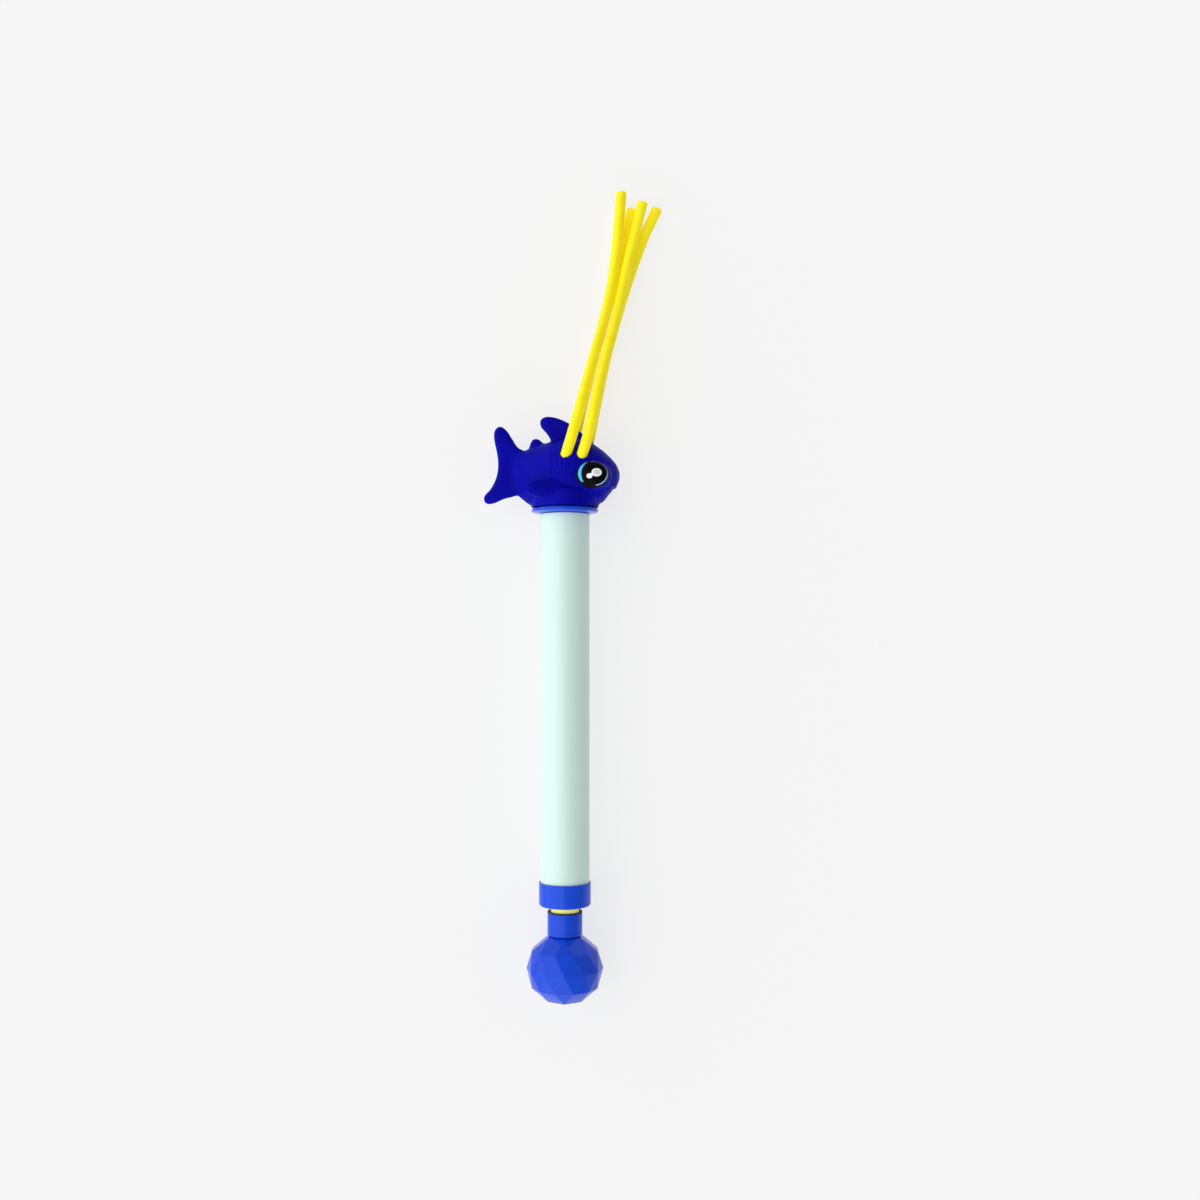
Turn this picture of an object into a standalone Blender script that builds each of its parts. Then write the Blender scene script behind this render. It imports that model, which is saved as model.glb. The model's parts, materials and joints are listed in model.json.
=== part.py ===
"""A child's hand water pump with a soft shark head and four spray hoses, lying on its side.

The pump's axis is the Y axis. The handle ball's flat end facet is at Y = 0 and the head is at the
+Y end. +X is the side of the shark's nose, and +Z is up. The surface that the pump lies on is one
ball radius below the axis.
"""
import math

import bmesh
import bpy
from mathutils import Matrix, Vector

MM = 0.001

# Overall sizes
BARREL_LENGTH = 249.7 * MM
BARREL_OUTER_RADIUS = 16.0 * MM
BARREL_WALL = 1.5 * MM
FIT = 0.3 * MM

# Handle
BALL_RADIUS = 25.0 * MM
BALL_WALL = 2.0 * MM
BALL_MID_LATITUDE = math.radians(28.7)
BALL_END_HEIGHT_SHARE = 0.828
BALL_END_RADIUS_SHARE = 0.492
BALL_SIDES = 12
NECK_WALL = 2.0 * MM
NECK_LENGTH = 15.9 * MM
NECK_FLOOR = 2.2 * MM
STEM_WALL = 4.8 * MM
WASHER_LAP = 1.9 * MM
WASHER_THICKNESS = 1.2 * MM

# Rod and piston
ROD_RADIUS = 9.1 * MM
ROD_WALL = 2.0 * MM
NECK_TO_CAP = 3.6 * MM
ROD_PLUG_LENGTH = 12.0 * MM
PISTON_LENGTH = 12.0 * MM
SEAL_WIRE_RADIUS = 0.85 * MM
SEAL_GROOVE_PLAY = 1.5 * MM

# Rear cap and the ring that guides the rod
CAP_LENGTH = 15.4 * MM
CAP_WALL = 0.6 * MM
CAP_END_WALL = 2.4 * MM
CAP_EDGE_ROUND = 1.5 * MM
GUIDE_FLANGE = 1.3 * MM
GUIDE_LENGTH = 7.0 * MM

# Head base
SPIGOT_LENGTH = 14.0 * MM
SPIGOT_WALL = 3.8 * MM
FLANGE_RADIUS = 21.6 * MM
FLANGE_THICKNESS = 3.0 * MM
FLANGE_RIM = 1.9 * MM
STEP_INSET = 2.3 * MM
STEP_HEIGHT = 0.7 * MM
COLLAR_WALL = 3.8 * MM
BOSS_WALL = 5.1 * MM
BOSS_HEIGHT = 10.0 * MM
BASE_FLOOR = 3.0 * MM
OUTLET_RADIUS = 4.0 * MM

# Manifold
GASKET_THICKNESS = 1.0 * MM
MANIFOLD_THICKNESS = 4.0 * MM
SPOUT_RADIUS = 2.0 * MM
SPOUT_BORE_RADIUS = 1.2 * MM
MANIFOLD_SCREW_COUNT = 2
MANIFOLD_SCREW_RADIUS = 1.25 * MM
MANIFOLD_SCREW_LENGTH = 12.0 * MM
MANIFOLD_SCREW_HEAD_RADIUS = 2.4 * MM
MANIFOLD_SCREW_HEAD = 1.6 * MM

# Rod screws
ROD_SCREW_RADIUS = 1.9 * MM
ROD_SCREW_HEAD_RADIUS = 4.3 * MM
ROD_SCREW_HEAD = 2.4 * MM
ROD_SCREW_GRIP = 10.0 * MM

# Hoses. The places are millimetres from the pump's axis and from the front face of the flange.
HOSE_RADIUS = 3.5 * MM
HOSE_POINT_SPACING = 17.0 * MM
HOSE_HOLE_REACH = 32.0 * MM
HOSE_ROUTES = {
    "hose_near_left": [
        (-3.6, 20.3, 11.0), (2.3, 36.8, 19.5), (5.0, 45.0, 22.0), (8.1, 55.7, 22.4), (11.0, 66.5, 20.9),
        (14.6, 80.5, 16.8), (18.7, 96.5, 10.6), (23.0, 113.1, 3.4), (27.0, 130.4, -4.2),
        (30.4, 147.7, -10.2), (32.7, 164.5, -13.4), (34.4, 180.6, -13.6), (35.9, 197.5, -14.1),
        (36.8, 210.4, -14.7)],
    "hose_near_right": [
        (6.3, 20.3, 11.4), (12.7, 36.8, 20.1), (15.2, 45.0, 22.2), (17.7, 55.7, 22.4), (20.0, 66.5, 20.9),
        (22.8, 80.5, 16.8), (26.4, 96.5, 10.6), (30.6, 113.1, 3.4), (34.6, 130.4, -4.0),
        (38.0, 147.7, -10.0), (41.4, 164.4, -13.4), (45.2, 181.0, -15.0), (48.7, 195.3, -15.2),
        (50.9, 204.1, -14.8)],
    "hose_far_left": [
        (-3.6, 20.3, -12.6), (2.3, 36.8, -18.6), (5.4, 46.5, -21.0), (8.4, 59.0, -21.4),
        (11.2, 72.0, -21.4), (14.8, 86.7, -21.4), (18.6, 102.7, -21.4), (23.0, 118.7, -21.4),
        (27.4, 134.7, -21.4), (31.4, 150.7, -21.4), (35.2, 166.6, -21.4), (38.9, 182.6, -21.4),
        (42.1, 193.9, -21.4), (44.2, 201.3, -21.4)],
    "hose_far_right": [
        (6.3, 20.3, -12.6), (12.7, 36.8, -18.6), (15.3, 46.5, -21.0), (17.7, 59.0, -21.4),
        (20.3, 72.0, -21.4), (23.3, 86.7, -21.4), (26.7, 102.7, -21.4), (30.8, 118.7, -21.4),
        (35.5, 134.7, -21.4), (40.4, 150.7, -21.4), (45.7, 166.6, -21.4), (51.8, 182.6, -21.4),
        (57.0, 193.9, -21.4), (60.7, 201.8, -21.4)],
}

# Shark head. Stations along X: place, belly and back above the flange's front face, half width.
SKIN_WALL = 2.2 * MM
SKIN_START = 1.1 * MM
SECTION_POWER = 2.3
SECTION_SIDES = 24
BODY_STATIONS = [
    (-33.0, 11.0, 37.0, 3.2), (-29.0, 8.4, 37.6, 6.0), (-24.0, 4.2, 38.6, 10.5), (-18.0, 1.6, 40.6, 15.2),
    (-10.0, 1.4, 43.2, 19.8), (0.0, 1.4, 45.6, 22.2), (10.0, 1.5, 45.4, 22.3), (18.0, 2.6, 42.6, 21.4),
    (25.0, 6.2, 37.4, 18.8), (30.0, 10.0, 33.0, 15.0), (33.3, 14.2, 29.0, 9.6), (35.1, 19.0, 24.6, 3.4),
]
CAVITY_REAR = -19.0
CAVITY_FRONT = 29.0
COLLAR_HEIGHT = 10.0 * MM
COLLAR_FLARE = 2.0 * MM
OPENING_ABOVE_MANIFOLD = 2.0 * MM
EYE_CENTRE = (18.5, 20.0, 15.5)
EYE_SIZE = (12.5, 10.5, 9.5)
PECTORAL_CENTRE = (-12.0, 11.4, 21.5)
PECTORAL_SIZE = (12.6, 5.6, 2.7)
PECTORAL_LEAN = math.radians(10.0)
TAIL_THICKNESS = 5.0 * MM
DORSAL_THICKNESS = 5.6 * MM
TAIL_OUTLINE = [
    (-27.5, 37.4), (-30.8, 40.6), (-34.5, 46.4), (-38.4, 51.6), (-42.5, 53.4), (-45.4, 51.0),
    (-45.8, 45.0), (-44.2, 37.0), (-43.4, 29.0), (-44.6, 20.6), (-48.0, 13.4), (-52.2, 7.4),
    (-51.0, 4.2), (-47.0, 3.9), (-39.6, 6.8), (-32.0, 9.0), (-26.0, 12.0), (-24.0, 24.0)]
DORSAL_OUTLINE = [
    (-9.4, 40.0), (-9.0, 44.0), (-11.6, 49.0), (-15.4, 53.6), (-15.9, 57.0), (-13.4, 59.3),
    (-8.2, 59.5), (-1.0, 57.4), (6.0, 53.2), (12.0, 48.0), (17.4, 42.4), (10.0, 36.0)]
FINLET_OUTLINE = [
    (-22.6, 37.0), (-22.4, 42.0), (-20.6, 45.0), (-17.4, 45.3), (-14.4, 42.8), (-11.0, 41.4), (-12.0, 36.0)]

TURN_STEPS = 32
SMALL_STEPS = 16
WIRE_SIDES = 8
ROUTE_PARTS = 12

# Places along Y, worked out from the sizes
BALL_CENTRE = BALL_RADIUS * BALL_END_HEIGHT_SHARE + FIT / 2.0
BALL_FRONT = 2.0 * BALL_CENTRE
NECK_REAR = BALL_FRONT + FIT
NECK_FRONT = NECK_REAR + NECK_LENGTH
CAP_REAR = NECK_FRONT + NECK_TO_CAP
CAP_FRONT = CAP_REAR + CAP_LENGTH
GUIDE_REAR = CAP_REAR + CAP_END_WALL + FIT
BARREL_REAR = GUIDE_REAR + GUIDE_FLANGE + FIT
BARREL_FRONT = BARREL_REAR + BARREL_LENGTH
FLANGE_REAR = BARREL_FRONT + FIT
FLANGE_FRONT = FLANGE_REAR + FLANGE_THICKNESS
SPIGOT_REAR = FLANGE_REAR - SPIGOT_LENGTH
BOSS_FRONT = FLANGE_FRONT + BOSS_HEIGHT
GASKET_REAR = BOSS_FRONT + FIT
MANIFOLD_REAR = GASKET_REAR + GASKET_THICKNESS + FIT
MANIFOLD_FRONT = MANIFOLD_REAR + MANIFOLD_THICKNESS
PISTON_FRONT = SPIGOT_REAR - FIT
PISTON_REAR = PISTON_FRONT - PISTON_LENGTH
ROD_FRONT = PISTON_REAR - FIT
ROD_REAR = NECK_REAR + NECK_FLOOR + FIT

# Radii worked out from the sizes
NECK_RADIUS = ROD_RADIUS + FIT + NECK_WALL
BORE_RADIUS = BARREL_OUTER_RADIUS - BARREL_WALL
PISTON_RADIUS = BORE_RADIUS - FIT
ROD_BORE_RADIUS = ROD_RADIUS - ROD_WALL
ROD_PLUG_RADIUS = ROD_BORE_RADIUS - FIT
CAP_RADIUS = BARREL_OUTER_RADIUS + FIT + CAP_WALL
ROD_SCREW_HOLE = ROD_SCREW_RADIUS + FIT
STEM_RADIUS = ROD_SCREW_HOLE + STEM_WALL
WASHER_RADIUS = STEM_RADIUS + FIT + WASHER_LAP
SEAL_GROOVE_WIDTH = 2.0 * SEAL_WIRE_RADIUS + SEAL_GROOVE_PLAY
SEAL_GROOVE_DEPTH = 2.0 * SEAL_WIRE_RADIUS + FIT
STEP_RADIUS = FLANGE_RADIUS - STEP_INSET
BOSS_RADIUS = FLANGE_RADIUS - COLLAR_WALL - FIT
PLENUM_RADIUS = BOSS_RADIUS - BOSS_WALL
MANIFOLD_RADIUS = BOSS_RADIUS - FIT
MANIFOLD_SCREW_HOLE = MANIFOLD_SCREW_RADIUS + FIT
MANIFOLD_SCREW_CIRCLE = 0.5 * (BOSS_RADIUS + PLENUM_RADIUS)

COLOURS = {
    "mint_plastic": ((0.72, 0.92, 0.86), 0.35),
    "blue_plastic": ((0.03, 0.10, 0.72), 0.35),
    "shark_vinyl": ((0.01, 0.012, 0.33), 0.5),
    "yellow_plastic": ((0.90, 0.74, 0.02), 0.35),
    "yellow_hose": ((0.97, 0.86, 0.02), 0.4),
    "white_plastic": ((0.85, 0.85, 0.83), 0.4),
    "black_rubber": ((0.02, 0.02, 0.02), 0.6),
    "screw_steel": ((0.6, 0.6, 0.62), 0.3),
}


def clear_scene():
    """Remove every object, so the script starts from an empty scene."""
    for old in list(bpy.data.objects):
        bpy.data.objects.remove(old, do_unlink=True)


def new_collection(name):
    """A collection of the given name, linked to the scene."""
    group = bpy.data.collections.new(name)
    bpy.context.scene.collection.children.link(group)
    return group


def material(name):
    """The Principled material of the given name, made on first use."""
    found = bpy.data.materials.get(name)
    if found:
        return found
    colour, roughness = COLOURS[name]
    made = bpy.data.materials.new(name)
    made.use_nodes = True
    shader = made.node_tree.nodes["Principled BSDF"]
    shader.inputs["Base Color"].default_value = (*colour, 1.0)
    shader.inputs["Roughness"].default_value = roughness
    shader.inputs["Metallic"].default_value = 1.0 if name == "screw_steel" else 0.0
    return made


def add_part(name, mesh, finish, parent=None):
    """Put a mesh in the parts collection as a named object with its own material."""
    part = bpy.data.objects.new(name, mesh)
    PARTS.objects.link(part)
    part.data.materials.clear()
    part.data.materials.append(material(finish))
    part.parent = parent
    return part


def add_cutter(name, mesh):
    """Put a mesh in the cutters collection, hidden from renders."""
    cutter = bpy.data.objects.new(name, mesh)
    CUTTERS.objects.link(cutter)
    cutter.hide_render = True
    cutter.display_type = "WIRE"
    return cutter


def boolean(part, other, operation):
    """Cut another object from a part, or join it on, with the exact solver."""
    step = part.modifiers.new(other.name, "BOOLEAN")
    step.operation = operation
    step.solver = "EXACT"
    step.object = other


def mesh_from(name, build):
    """A mesh filled by a function that works on a bmesh."""
    shape = bmesh.new()
    build(shape)
    bmesh.ops.recalc_face_normals(shape, faces=shape.faces)
    mesh = bpy.data.meshes.new(name)
    shape.to_mesh(mesh)
    shape.free()
    return mesh


def along_pump(part):
    """Turn a piece that was made along Z so that it lies along the pump."""
    part.rotation_euler = (-math.pi / 2.0, 0.0, 0.0)


def turned(name, profile, finish, parent=None, steps=TURN_STEPS, closed=True):
    """A round piece: a profile of (radius, place along Y), turned with a Screw modifier.

    A closed profile makes a ring. An open one starts and ends on the axis.
    """
    area = 0.0
    for (r0, y0), (r1, y1) in zip(profile, profile[1:] + profile[:1]):
        area += r0 * y1 - r1 * y0
    points = profile if area < 0.0 else profile[::-1]
    count = len(points)
    edges = [(i, i + 1) for i in range(count - 1)]
    if closed:
        edges.append((count - 1, 0))
    mesh = bpy.data.meshes.new(name)
    mesh.from_pydata([(r, 0.0, y) for r, y in points], edges, [])
    part = add_part(name, mesh, finish, parent)
    along_pump(part)
    spin = part.modifiers.new("turn", "SCREW")
    spin.axis = "Z"
    spin.steps = steps
    spin.render_steps = steps
    spin.use_merge_vertices = True
    spin.merge_threshold = 0.00001
    spin.use_smooth_shade = True
    return part


def rod_between(name, start, end, radius, steps=SMALL_STEPS):
    """A mesh cylinder from one point to another."""
    axis = Vector(end) - Vector(start)
    place = Matrix.Translation((Vector(start) + Vector(end)) / 2.0)
    turn = axis.to_track_quat("Z", "Y").to_matrix().to_4x4()

    def build(shape):
        bmesh.ops.create_cone(
            shape, cap_ends=True, segments=steps, radius1=radius, radius2=radius,
            depth=axis.length, matrix=place @ turn)
    return mesh_from(name, build)


def joined_rods(name, rods):
    """One mesh that holds several separate cylinders, each (start, end, radius)."""
    def build(shape):
        for start, end, radius in rods:
            piece = rod_between(name, start, end, radius)
            shape.from_mesh(piece)
            bpy.data.meshes.remove(piece)
    return mesh_from(name, build)


# Handle

def ball_ring(reach, rise, count, phase):
    """The corners of one ring of the faceted ball, about the ball's centre."""
    turn = 2.0 * math.pi / count
    return [(reach * math.sin(phase + i * turn), rise, reach * math.cos(phase + i * turn))
            for i in range(count)]


def ball_corners(radius, side):
    """Corners of half a faceted ball: side is +1 for the front half and -1 for the rear one."""
    half_turn = math.pi / BALL_SIDES
    middle_reach = radius * math.cos(BALL_MID_LATITUDE)
    middle_rise = side * radius * math.sin(BALL_MID_LATITUDE)
    end_reach = radius * BALL_END_RADIUS_SHARE
    end_rise = side * radius * BALL_END_HEIGHT_SHARE
    corners = ball_ring(radius, 0.0, BALL_SIDES, 0.0)
    corners += ball_ring(middle_reach, middle_rise, BALL_SIDES, half_turn)
    corners += ball_ring(end_reach, end_rise, BALL_SIDES // 2, 0.0)
    return corners


def hull(shape, corners, shift):
    """Wrap a convex faceted skin round the corners."""
    points = [shape.verts.new((x, y + shift, z)) for x, y, z in corners]
    wrapped = bmesh.ops.convex_hull(shape, input=points)
    unused = [item for item in wrapped["geom_interior"] if isinstance(item, bmesh.types.BMVert)]
    bmesh.ops.delete(shape, geom=unused, context="VERTS")


def ball_half(name, side, parent):
    """One hollow moulded half of the faceted ball."""
    split = BALL_CENTRE + side * FIT / 2.0
    half = add_part(name, mesh_from(name, lambda shape: hull(
        shape, ball_corners(BALL_RADIUS, side), split)), "blue_plastic", parent)
    inner = ball_corners(BALL_RADIUS - BALL_WALL, side) + ball_corners(BALL_RADIUS - BALL_WALL, -side)
    hollow = add_cutter(name + "_hollow", mesh_from(name + "_hollow", lambda shape: hull(
        shape, inner, BALL_CENTRE)))
    boolean(half, hollow, "DIFFERENCE")
    return half


def ball_halves(parent):
    """The two halves of the handle ball. The front half has a hole for the neck's stem."""
    ball_half("ball_rear_half", -1, parent)
    front = ball_half("ball_front_half", 1, parent)
    hole = rod_between(
        "stem_hole", (0.0, BALL_CENTRE, 0.0), (0.0, NECK_FRONT, 0.0), STEM_RADIUS + FIT, TURN_STEPS)
    boolean(front, add_cutter("stem_hole", hole), "DIFFERENCE")


def handle_neck(parent):
    """The neck: a socket for the rod, with a short stem through the ball's front facet."""
    socket = ROD_RADIUS + FIT
    stem_end = BALL_FRONT - BALL_WALL + FIT
    turned("handle_neck", [
        (NECK_RADIUS, NECK_FRONT), (NECK_RADIUS, NECK_REAR), (STEM_RADIUS, NECK_REAR),
        (STEM_RADIUS, stem_end), (ROD_SCREW_HOLE, stem_end), (ROD_SCREW_HOLE, NECK_REAR + NECK_FLOOR),
        (socket, NECK_REAR + NECK_FLOOR), (socket, NECK_FRONT)], "blue_plastic", parent)


def rod_screw(name, head_outer, direction, length, parent):
    """A pan screw on the pump's axis. Direction is the way its shank points along Y."""
    seat = head_outer + direction * ROD_SCREW_HEAD
    tip = seat + direction * length
    turned(name, [
        (0.0, head_outer), (ROD_SCREW_HEAD_RADIUS, head_outer), (ROD_SCREW_HEAD_RADIUS, seat),
        (ROD_SCREW_RADIUS, seat), (ROD_SCREW_RADIUS, tip), (0.0, tip)],
        "screw_steel", parent, SMALL_STEPS, closed=False)


def handle_fixing(parent):
    """The washer and screw that hold the ball's front half and the neck to the rod."""
    washer_front = BALL_FRONT - BALL_WALL - FIT
    washer_rear = washer_front - WASHER_THICKNESS
    turned("handle_washer", [
        (WASHER_RADIUS, washer_front), (WASHER_RADIUS, washer_rear), (ROD_SCREW_HOLE, washer_rear),
        (ROD_SCREW_HOLE, washer_front)], "screw_steel", parent)
    head_outer = washer_rear - FIT - ROD_SCREW_HEAD
    rod_screw("handle_screw", head_outer, 1.0, ROD_REAR + ROD_SCREW_GRIP - washer_rear, parent)


# Rod and piston

def piston_rod(parent):
    """The yellow tube that joins the handle to the piston."""
    turned("piston_rod", [
        (ROD_RADIUS, ROD_FRONT), (ROD_RADIUS, ROD_REAR), (ROD_BORE_RADIUS, ROD_REAR),
        (ROD_BORE_RADIUS, ROD_FRONT)], "yellow_plastic", parent)


def rod_plug(name, rear, front, parent):
    """A plug in one end of the rod, bored for a screw."""
    turned(name, [
        (ROD_PLUG_RADIUS, front), (ROD_PLUG_RADIUS, rear), (ROD_SCREW_HOLE, rear),
        (ROD_SCREW_HOLE, front)], "white_plastic", parent)


def seal_ring(name, middle, parent=None):
    """An O-ring in its groove, of the bore's size."""
    reach = PISTON_RADIUS - SEAL_WIRE_RADIUS
    turn = 2.0 * math.pi / WIRE_SIDES
    turned(name, [
        (reach + SEAL_WIRE_RADIUS * math.cos(i * turn), middle + SEAL_WIRE_RADIUS * math.sin(i * turn))
        for i in range(WIRE_SIDES)], "black_rubber", parent)


def grooved_side(front, rear, groove_middle):
    """The outer side of a round piece that fits the bore and has a seal groove, front to rear."""
    groove = PISTON_RADIUS - SEAL_GROOVE_DEPTH
    groove_front = groove_middle + SEAL_GROOVE_WIDTH / 2.0
    groove_rear = groove_middle - SEAL_GROOVE_WIDTH / 2.0
    return [
        (PISTON_RADIUS, front), (PISTON_RADIUS, groove_front), (groove, groove_front),
        (groove, groove_rear), (PISTON_RADIUS, groove_rear), (PISTON_RADIUS, rear)]


def piston_head(slide, parent):
    """The piston with its seal and the screw that holds it on the rod."""
    groove_middle = PISTON_REAR + PISTON_LENGTH / 2.0
    recess_radius = ROD_SCREW_HEAD_RADIUS + 2.0 * FIT
    recess_floor = PISTON_FRONT - ROD_SCREW_HEAD - 2.0 * FIT
    turned("piston_head", grooved_side(PISTON_FRONT, PISTON_REAR, groove_middle) + [
        (ROD_SCREW_HOLE, PISTON_REAR), (ROD_SCREW_HOLE, recess_floor), (recess_radius, recess_floor),
        (recess_radius, PISTON_FRONT)], "white_plastic", parent)
    seal_ring("piston_seal", groove_middle, slide)
    length = recess_floor - PISTON_REAR + ROD_SCREW_GRIP
    rod_screw("piston_screw", PISTON_FRONT - FIT, -1.0, length, parent)


# Barrel, cap and guide

def barrel_tube():
    """The pale barrel."""
    turned("barrel_tube", [
        (BARREL_OUTER_RADIUS, BARREL_FRONT), (BARREL_OUTER_RADIUS, BARREL_REAR),
        (BORE_RADIUS, BARREL_REAR), (BORE_RADIUS, BARREL_FRONT)], "mint_plastic")


def rear_cap():
    """The cap over the barrel's rear end, with a rounded outer edge and the rod's hole."""
    hole = ROD_RADIUS + FIT
    skirt = BARREL_OUTER_RADIUS + FIT
    inner_end = CAP_REAR + CAP_END_WALL
    edge = []
    for i in range(4):
        angle = math.radians(30.0 * i)
        edge.append((CAP_RADIUS - CAP_EDGE_ROUND * (1.0 - math.cos(angle)),
                     CAP_REAR + CAP_EDGE_ROUND * (1.0 - math.sin(angle))))
    turned("rear_cap", [(CAP_RADIUS, CAP_FRONT)] + edge + [
        (hole, CAP_REAR), (hole, inner_end), (skirt, inner_end), (skirt, CAP_FRONT)], "blue_plastic")


def rod_guide_ring():
    """The flanged ring in the barrel's rear end that guides the rod and stops the piston."""
    hole = ROD_RADIUS + FIT
    guide_front = GUIDE_REAR + GUIDE_LENGTH
    flange_front = GUIDE_REAR + GUIDE_FLANGE
    turned("rod_guide_ring", [
        (PISTON_RADIUS, guide_front), (PISTON_RADIUS, flange_front), (BARREL_OUTER_RADIUS, flange_front),
        (BARREL_OUTER_RADIUS, GUIDE_REAR), (hole, GUIDE_REAR), (hole, guide_front)], "white_plastic")


# Head base and manifold

def screw_places():
    """The manifold screws' places across the pump."""
    turn = 2.0 * math.pi / MANIFOLD_SCREW_COUNT
    return [(MANIFOLD_SCREW_CIRCLE * math.cos(i * turn), MANIFOLD_SCREW_CIRCLE * math.sin(i * turn))
            for i in range(MANIFOLD_SCREW_COUNT)]


def screw_holes(name, rear, front):
    """A cutter for the manifold screws' holes between two places along Y."""
    rods = [((x, rear, z), (x, front, z), MANIFOLD_SCREW_HOLE) for x, z in screw_places()]
    return add_cutter(name, joined_rods(name, rods))


def head_base():
    """The base: a spigot in the barrel, the flange ring, and the boss that the head is pushed on."""
    groove_middle = SPIGOT_REAR + SPIGOT_LENGTH / 2.0
    inner = PISTON_RADIUS - SPIGOT_WALL
    floor_front = FLANGE_REAR + BASE_FLOOR + FIT
    floor_rear = FLANGE_REAR + FIT
    step_front = FLANGE_FRONT + STEP_HEIGHT
    base = turned("head_base", [
        (BOSS_RADIUS, BOSS_FRONT), (BOSS_RADIUS, step_front), (STEP_RADIUS, step_front),
        (STEP_RADIUS, FLANGE_FRONT), (FLANGE_RADIUS, FLANGE_FRONT), (FLANGE_RADIUS, FLANGE_FRONT - FLANGE_RIM),
        (BARREL_OUTER_RADIUS, FLANGE_REAR)]
        + grooved_side(FLANGE_REAR, SPIGOT_REAR, groove_middle) + [
        (inner, SPIGOT_REAR), (inner, floor_rear), (OUTLET_RADIUS, floor_rear),
        (OUTLET_RADIUS, floor_front), (PLENUM_RADIUS, floor_front), (PLENUM_RADIUS, BOSS_FRONT)],
        "blue_plastic")
    hole_depth = MANIFOLD_SCREW_LENGTH - (MANIFOLD_FRONT + FIT - BOSS_FRONT) + 2.0 * FIT
    boolean(base, screw_holes("base_screw_holes", BOSS_FRONT - hole_depth, MANIFOLD_FRONT), "DIFFERENCE")
    seal_ring("base_seal_ring", groove_middle)


def manifold_gasket():
    """The flat ring between the boss and the manifold."""
    front = GASKET_REAR + GASKET_THICKNESS
    gasket = turned("manifold_gasket", [
        (MANIFOLD_RADIUS, front), (MANIFOLD_RADIUS, GASKET_REAR), (PLENUM_RADIUS, GASKET_REAR),
        (PLENUM_RADIUS, front)], "black_rubber")
    boolean(gasket, screw_holes("gasket_screw_holes", BOSS_FRONT, MANIFOLD_FRONT), "DIFFERENCE")


def hose_start(route):
    """The hose's first point and its direction there."""
    places = [Vector((x * MM, y * MM + FLANGE_FRONT, z * MM)) for x, y, z in route[:2]]
    return places[0], (places[1] - places[0]).normalized()


def spout_rods(radius, rear, tip_gap):
    """Rods along the spouts, from a place along Y to just short of the hoses."""
    rods = []
    for route in HOSE_ROUTES.values():
        start, way = hose_start(route)
        rods.append((start + way * ((rear - start.y) / way.y), start - way * tip_gap, radius))
    return rods


def spout_manifold():
    """The disc with four leaning spouts, one for each hose."""
    disc = turned("spout_manifold", [
        (0.0, MANIFOLD_FRONT), (MANIFOLD_RADIUS, MANIFOLD_FRONT), (MANIFOLD_RADIUS, MANIFOLD_REAR),
        (0.0, MANIFOLD_REAR)], "white_plastic", closed=False)
    for index, (start, end, radius) in enumerate(spout_rods(SPOUT_RADIUS, MANIFOLD_FRONT - MANIFOLD_THICKNESS / 3.0, FIT)):
        name = "spout_%d" % (index + 1)
        boolean(disc, add_cutter(name, rod_between(name, start, end, radius)), "UNION")
    bores = joined_rods("spout_bores", spout_rods(SPOUT_BORE_RADIUS, MANIFOLD_REAR - FIT, -FIT))
    boolean(disc, add_cutter("spout_bores", bores), "DIFFERENCE")
    holes = screw_holes("manifold_screw_holes", BOSS_FRONT, MANIFOLD_FRONT + MANIFOLD_THICKNESS)
    boolean(disc, holes, "DIFFERENCE")


def manifold_screws():
    """The screws that hold the manifold on the boss."""
    seat = MANIFOLD_FRONT + FIT
    top = seat + MANIFOLD_SCREW_HEAD
    tip = seat - MANIFOLD_SCREW_LENGTH
    for index, (x, z) in enumerate(screw_places()):
        screw = turned("manifold_screw_%d" % (index + 1), [
            (0.0, top), (MANIFOLD_SCREW_HEAD_RADIUS, top), (MANIFOLD_SCREW_HEAD_RADIUS, seat),
            (MANIFOLD_SCREW_RADIUS, seat), (MANIFOLD_SCREW_RADIUS, tip), (0.0, tip)],
            "screw_steel", None, SMALL_STEPS, closed=False)
        screw.location = (x, 0.0, z)


# Hoses

def smooth_route(points, spacing):
    """Evenly spaced points on a smooth curve through the given ones."""
    ends = [points[0] * 2.0 - points[1]] + points + [points[-1] * 2.0 - points[-2]]
    fine = []
    for p0, p1, p2, p3 in zip(ends, ends[1:], ends[2:], ends[3:]):
        for i in range(ROUTE_PARTS):
            t = i / ROUTE_PARTS
            fine.append(0.5 * (2.0 * p1 + (p2 - p0) * t + (2.0 * p0 - 5.0 * p1 + 4.0 * p2 - p3) * t * t
                               + (3.0 * p1 - p0 - 3.0 * p2 + p3) * t * t * t))
    fine.append(points[-1])
    lengths = [0.0]
    for before, after in zip(fine, fine[1:]):
        lengths.append(lengths[-1] + (after - before).length)
    count = max(2, round(lengths[-1] / spacing))
    even = []
    for i in range(count + 1):
        target = lengths[-1] * i / count
        place = max(k for k in range(len(fine) - 1) if lengths[k] <= target + 1e-12)
        share = (target - lengths[place]) / (lengths[place + 1] - lengths[place])
        even.append(fine[place].lerp(fine[place + 1], min(1.0, share)))
    return even


def hoses():
    """The four flexible hoses, as plain tubes along their routes."""
    for name, route in HOSE_ROUTES.items():
        points = [Vector((x * MM, y * MM + FLANGE_FRONT, z * MM)) for x, y, z in route]
        even = smooth_route(points, HOSE_POINT_SPACING)
        curve = bpy.data.curves.new(name, "CURVE")
        curve.dimensions = "3D"
        curve.bevel_depth = HOSE_RADIUS
        curve.bevel_resolution = 2
        curve.use_fill_caps = True
        spline = curve.splines.new("POLY")
        spline.points.add(len(even) - 1)
        for target, point in zip(spline.points, even):
            target.co = (*point, 1.0)
        add_part(name, curve, "yellow_hose")


# Shark head

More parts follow.
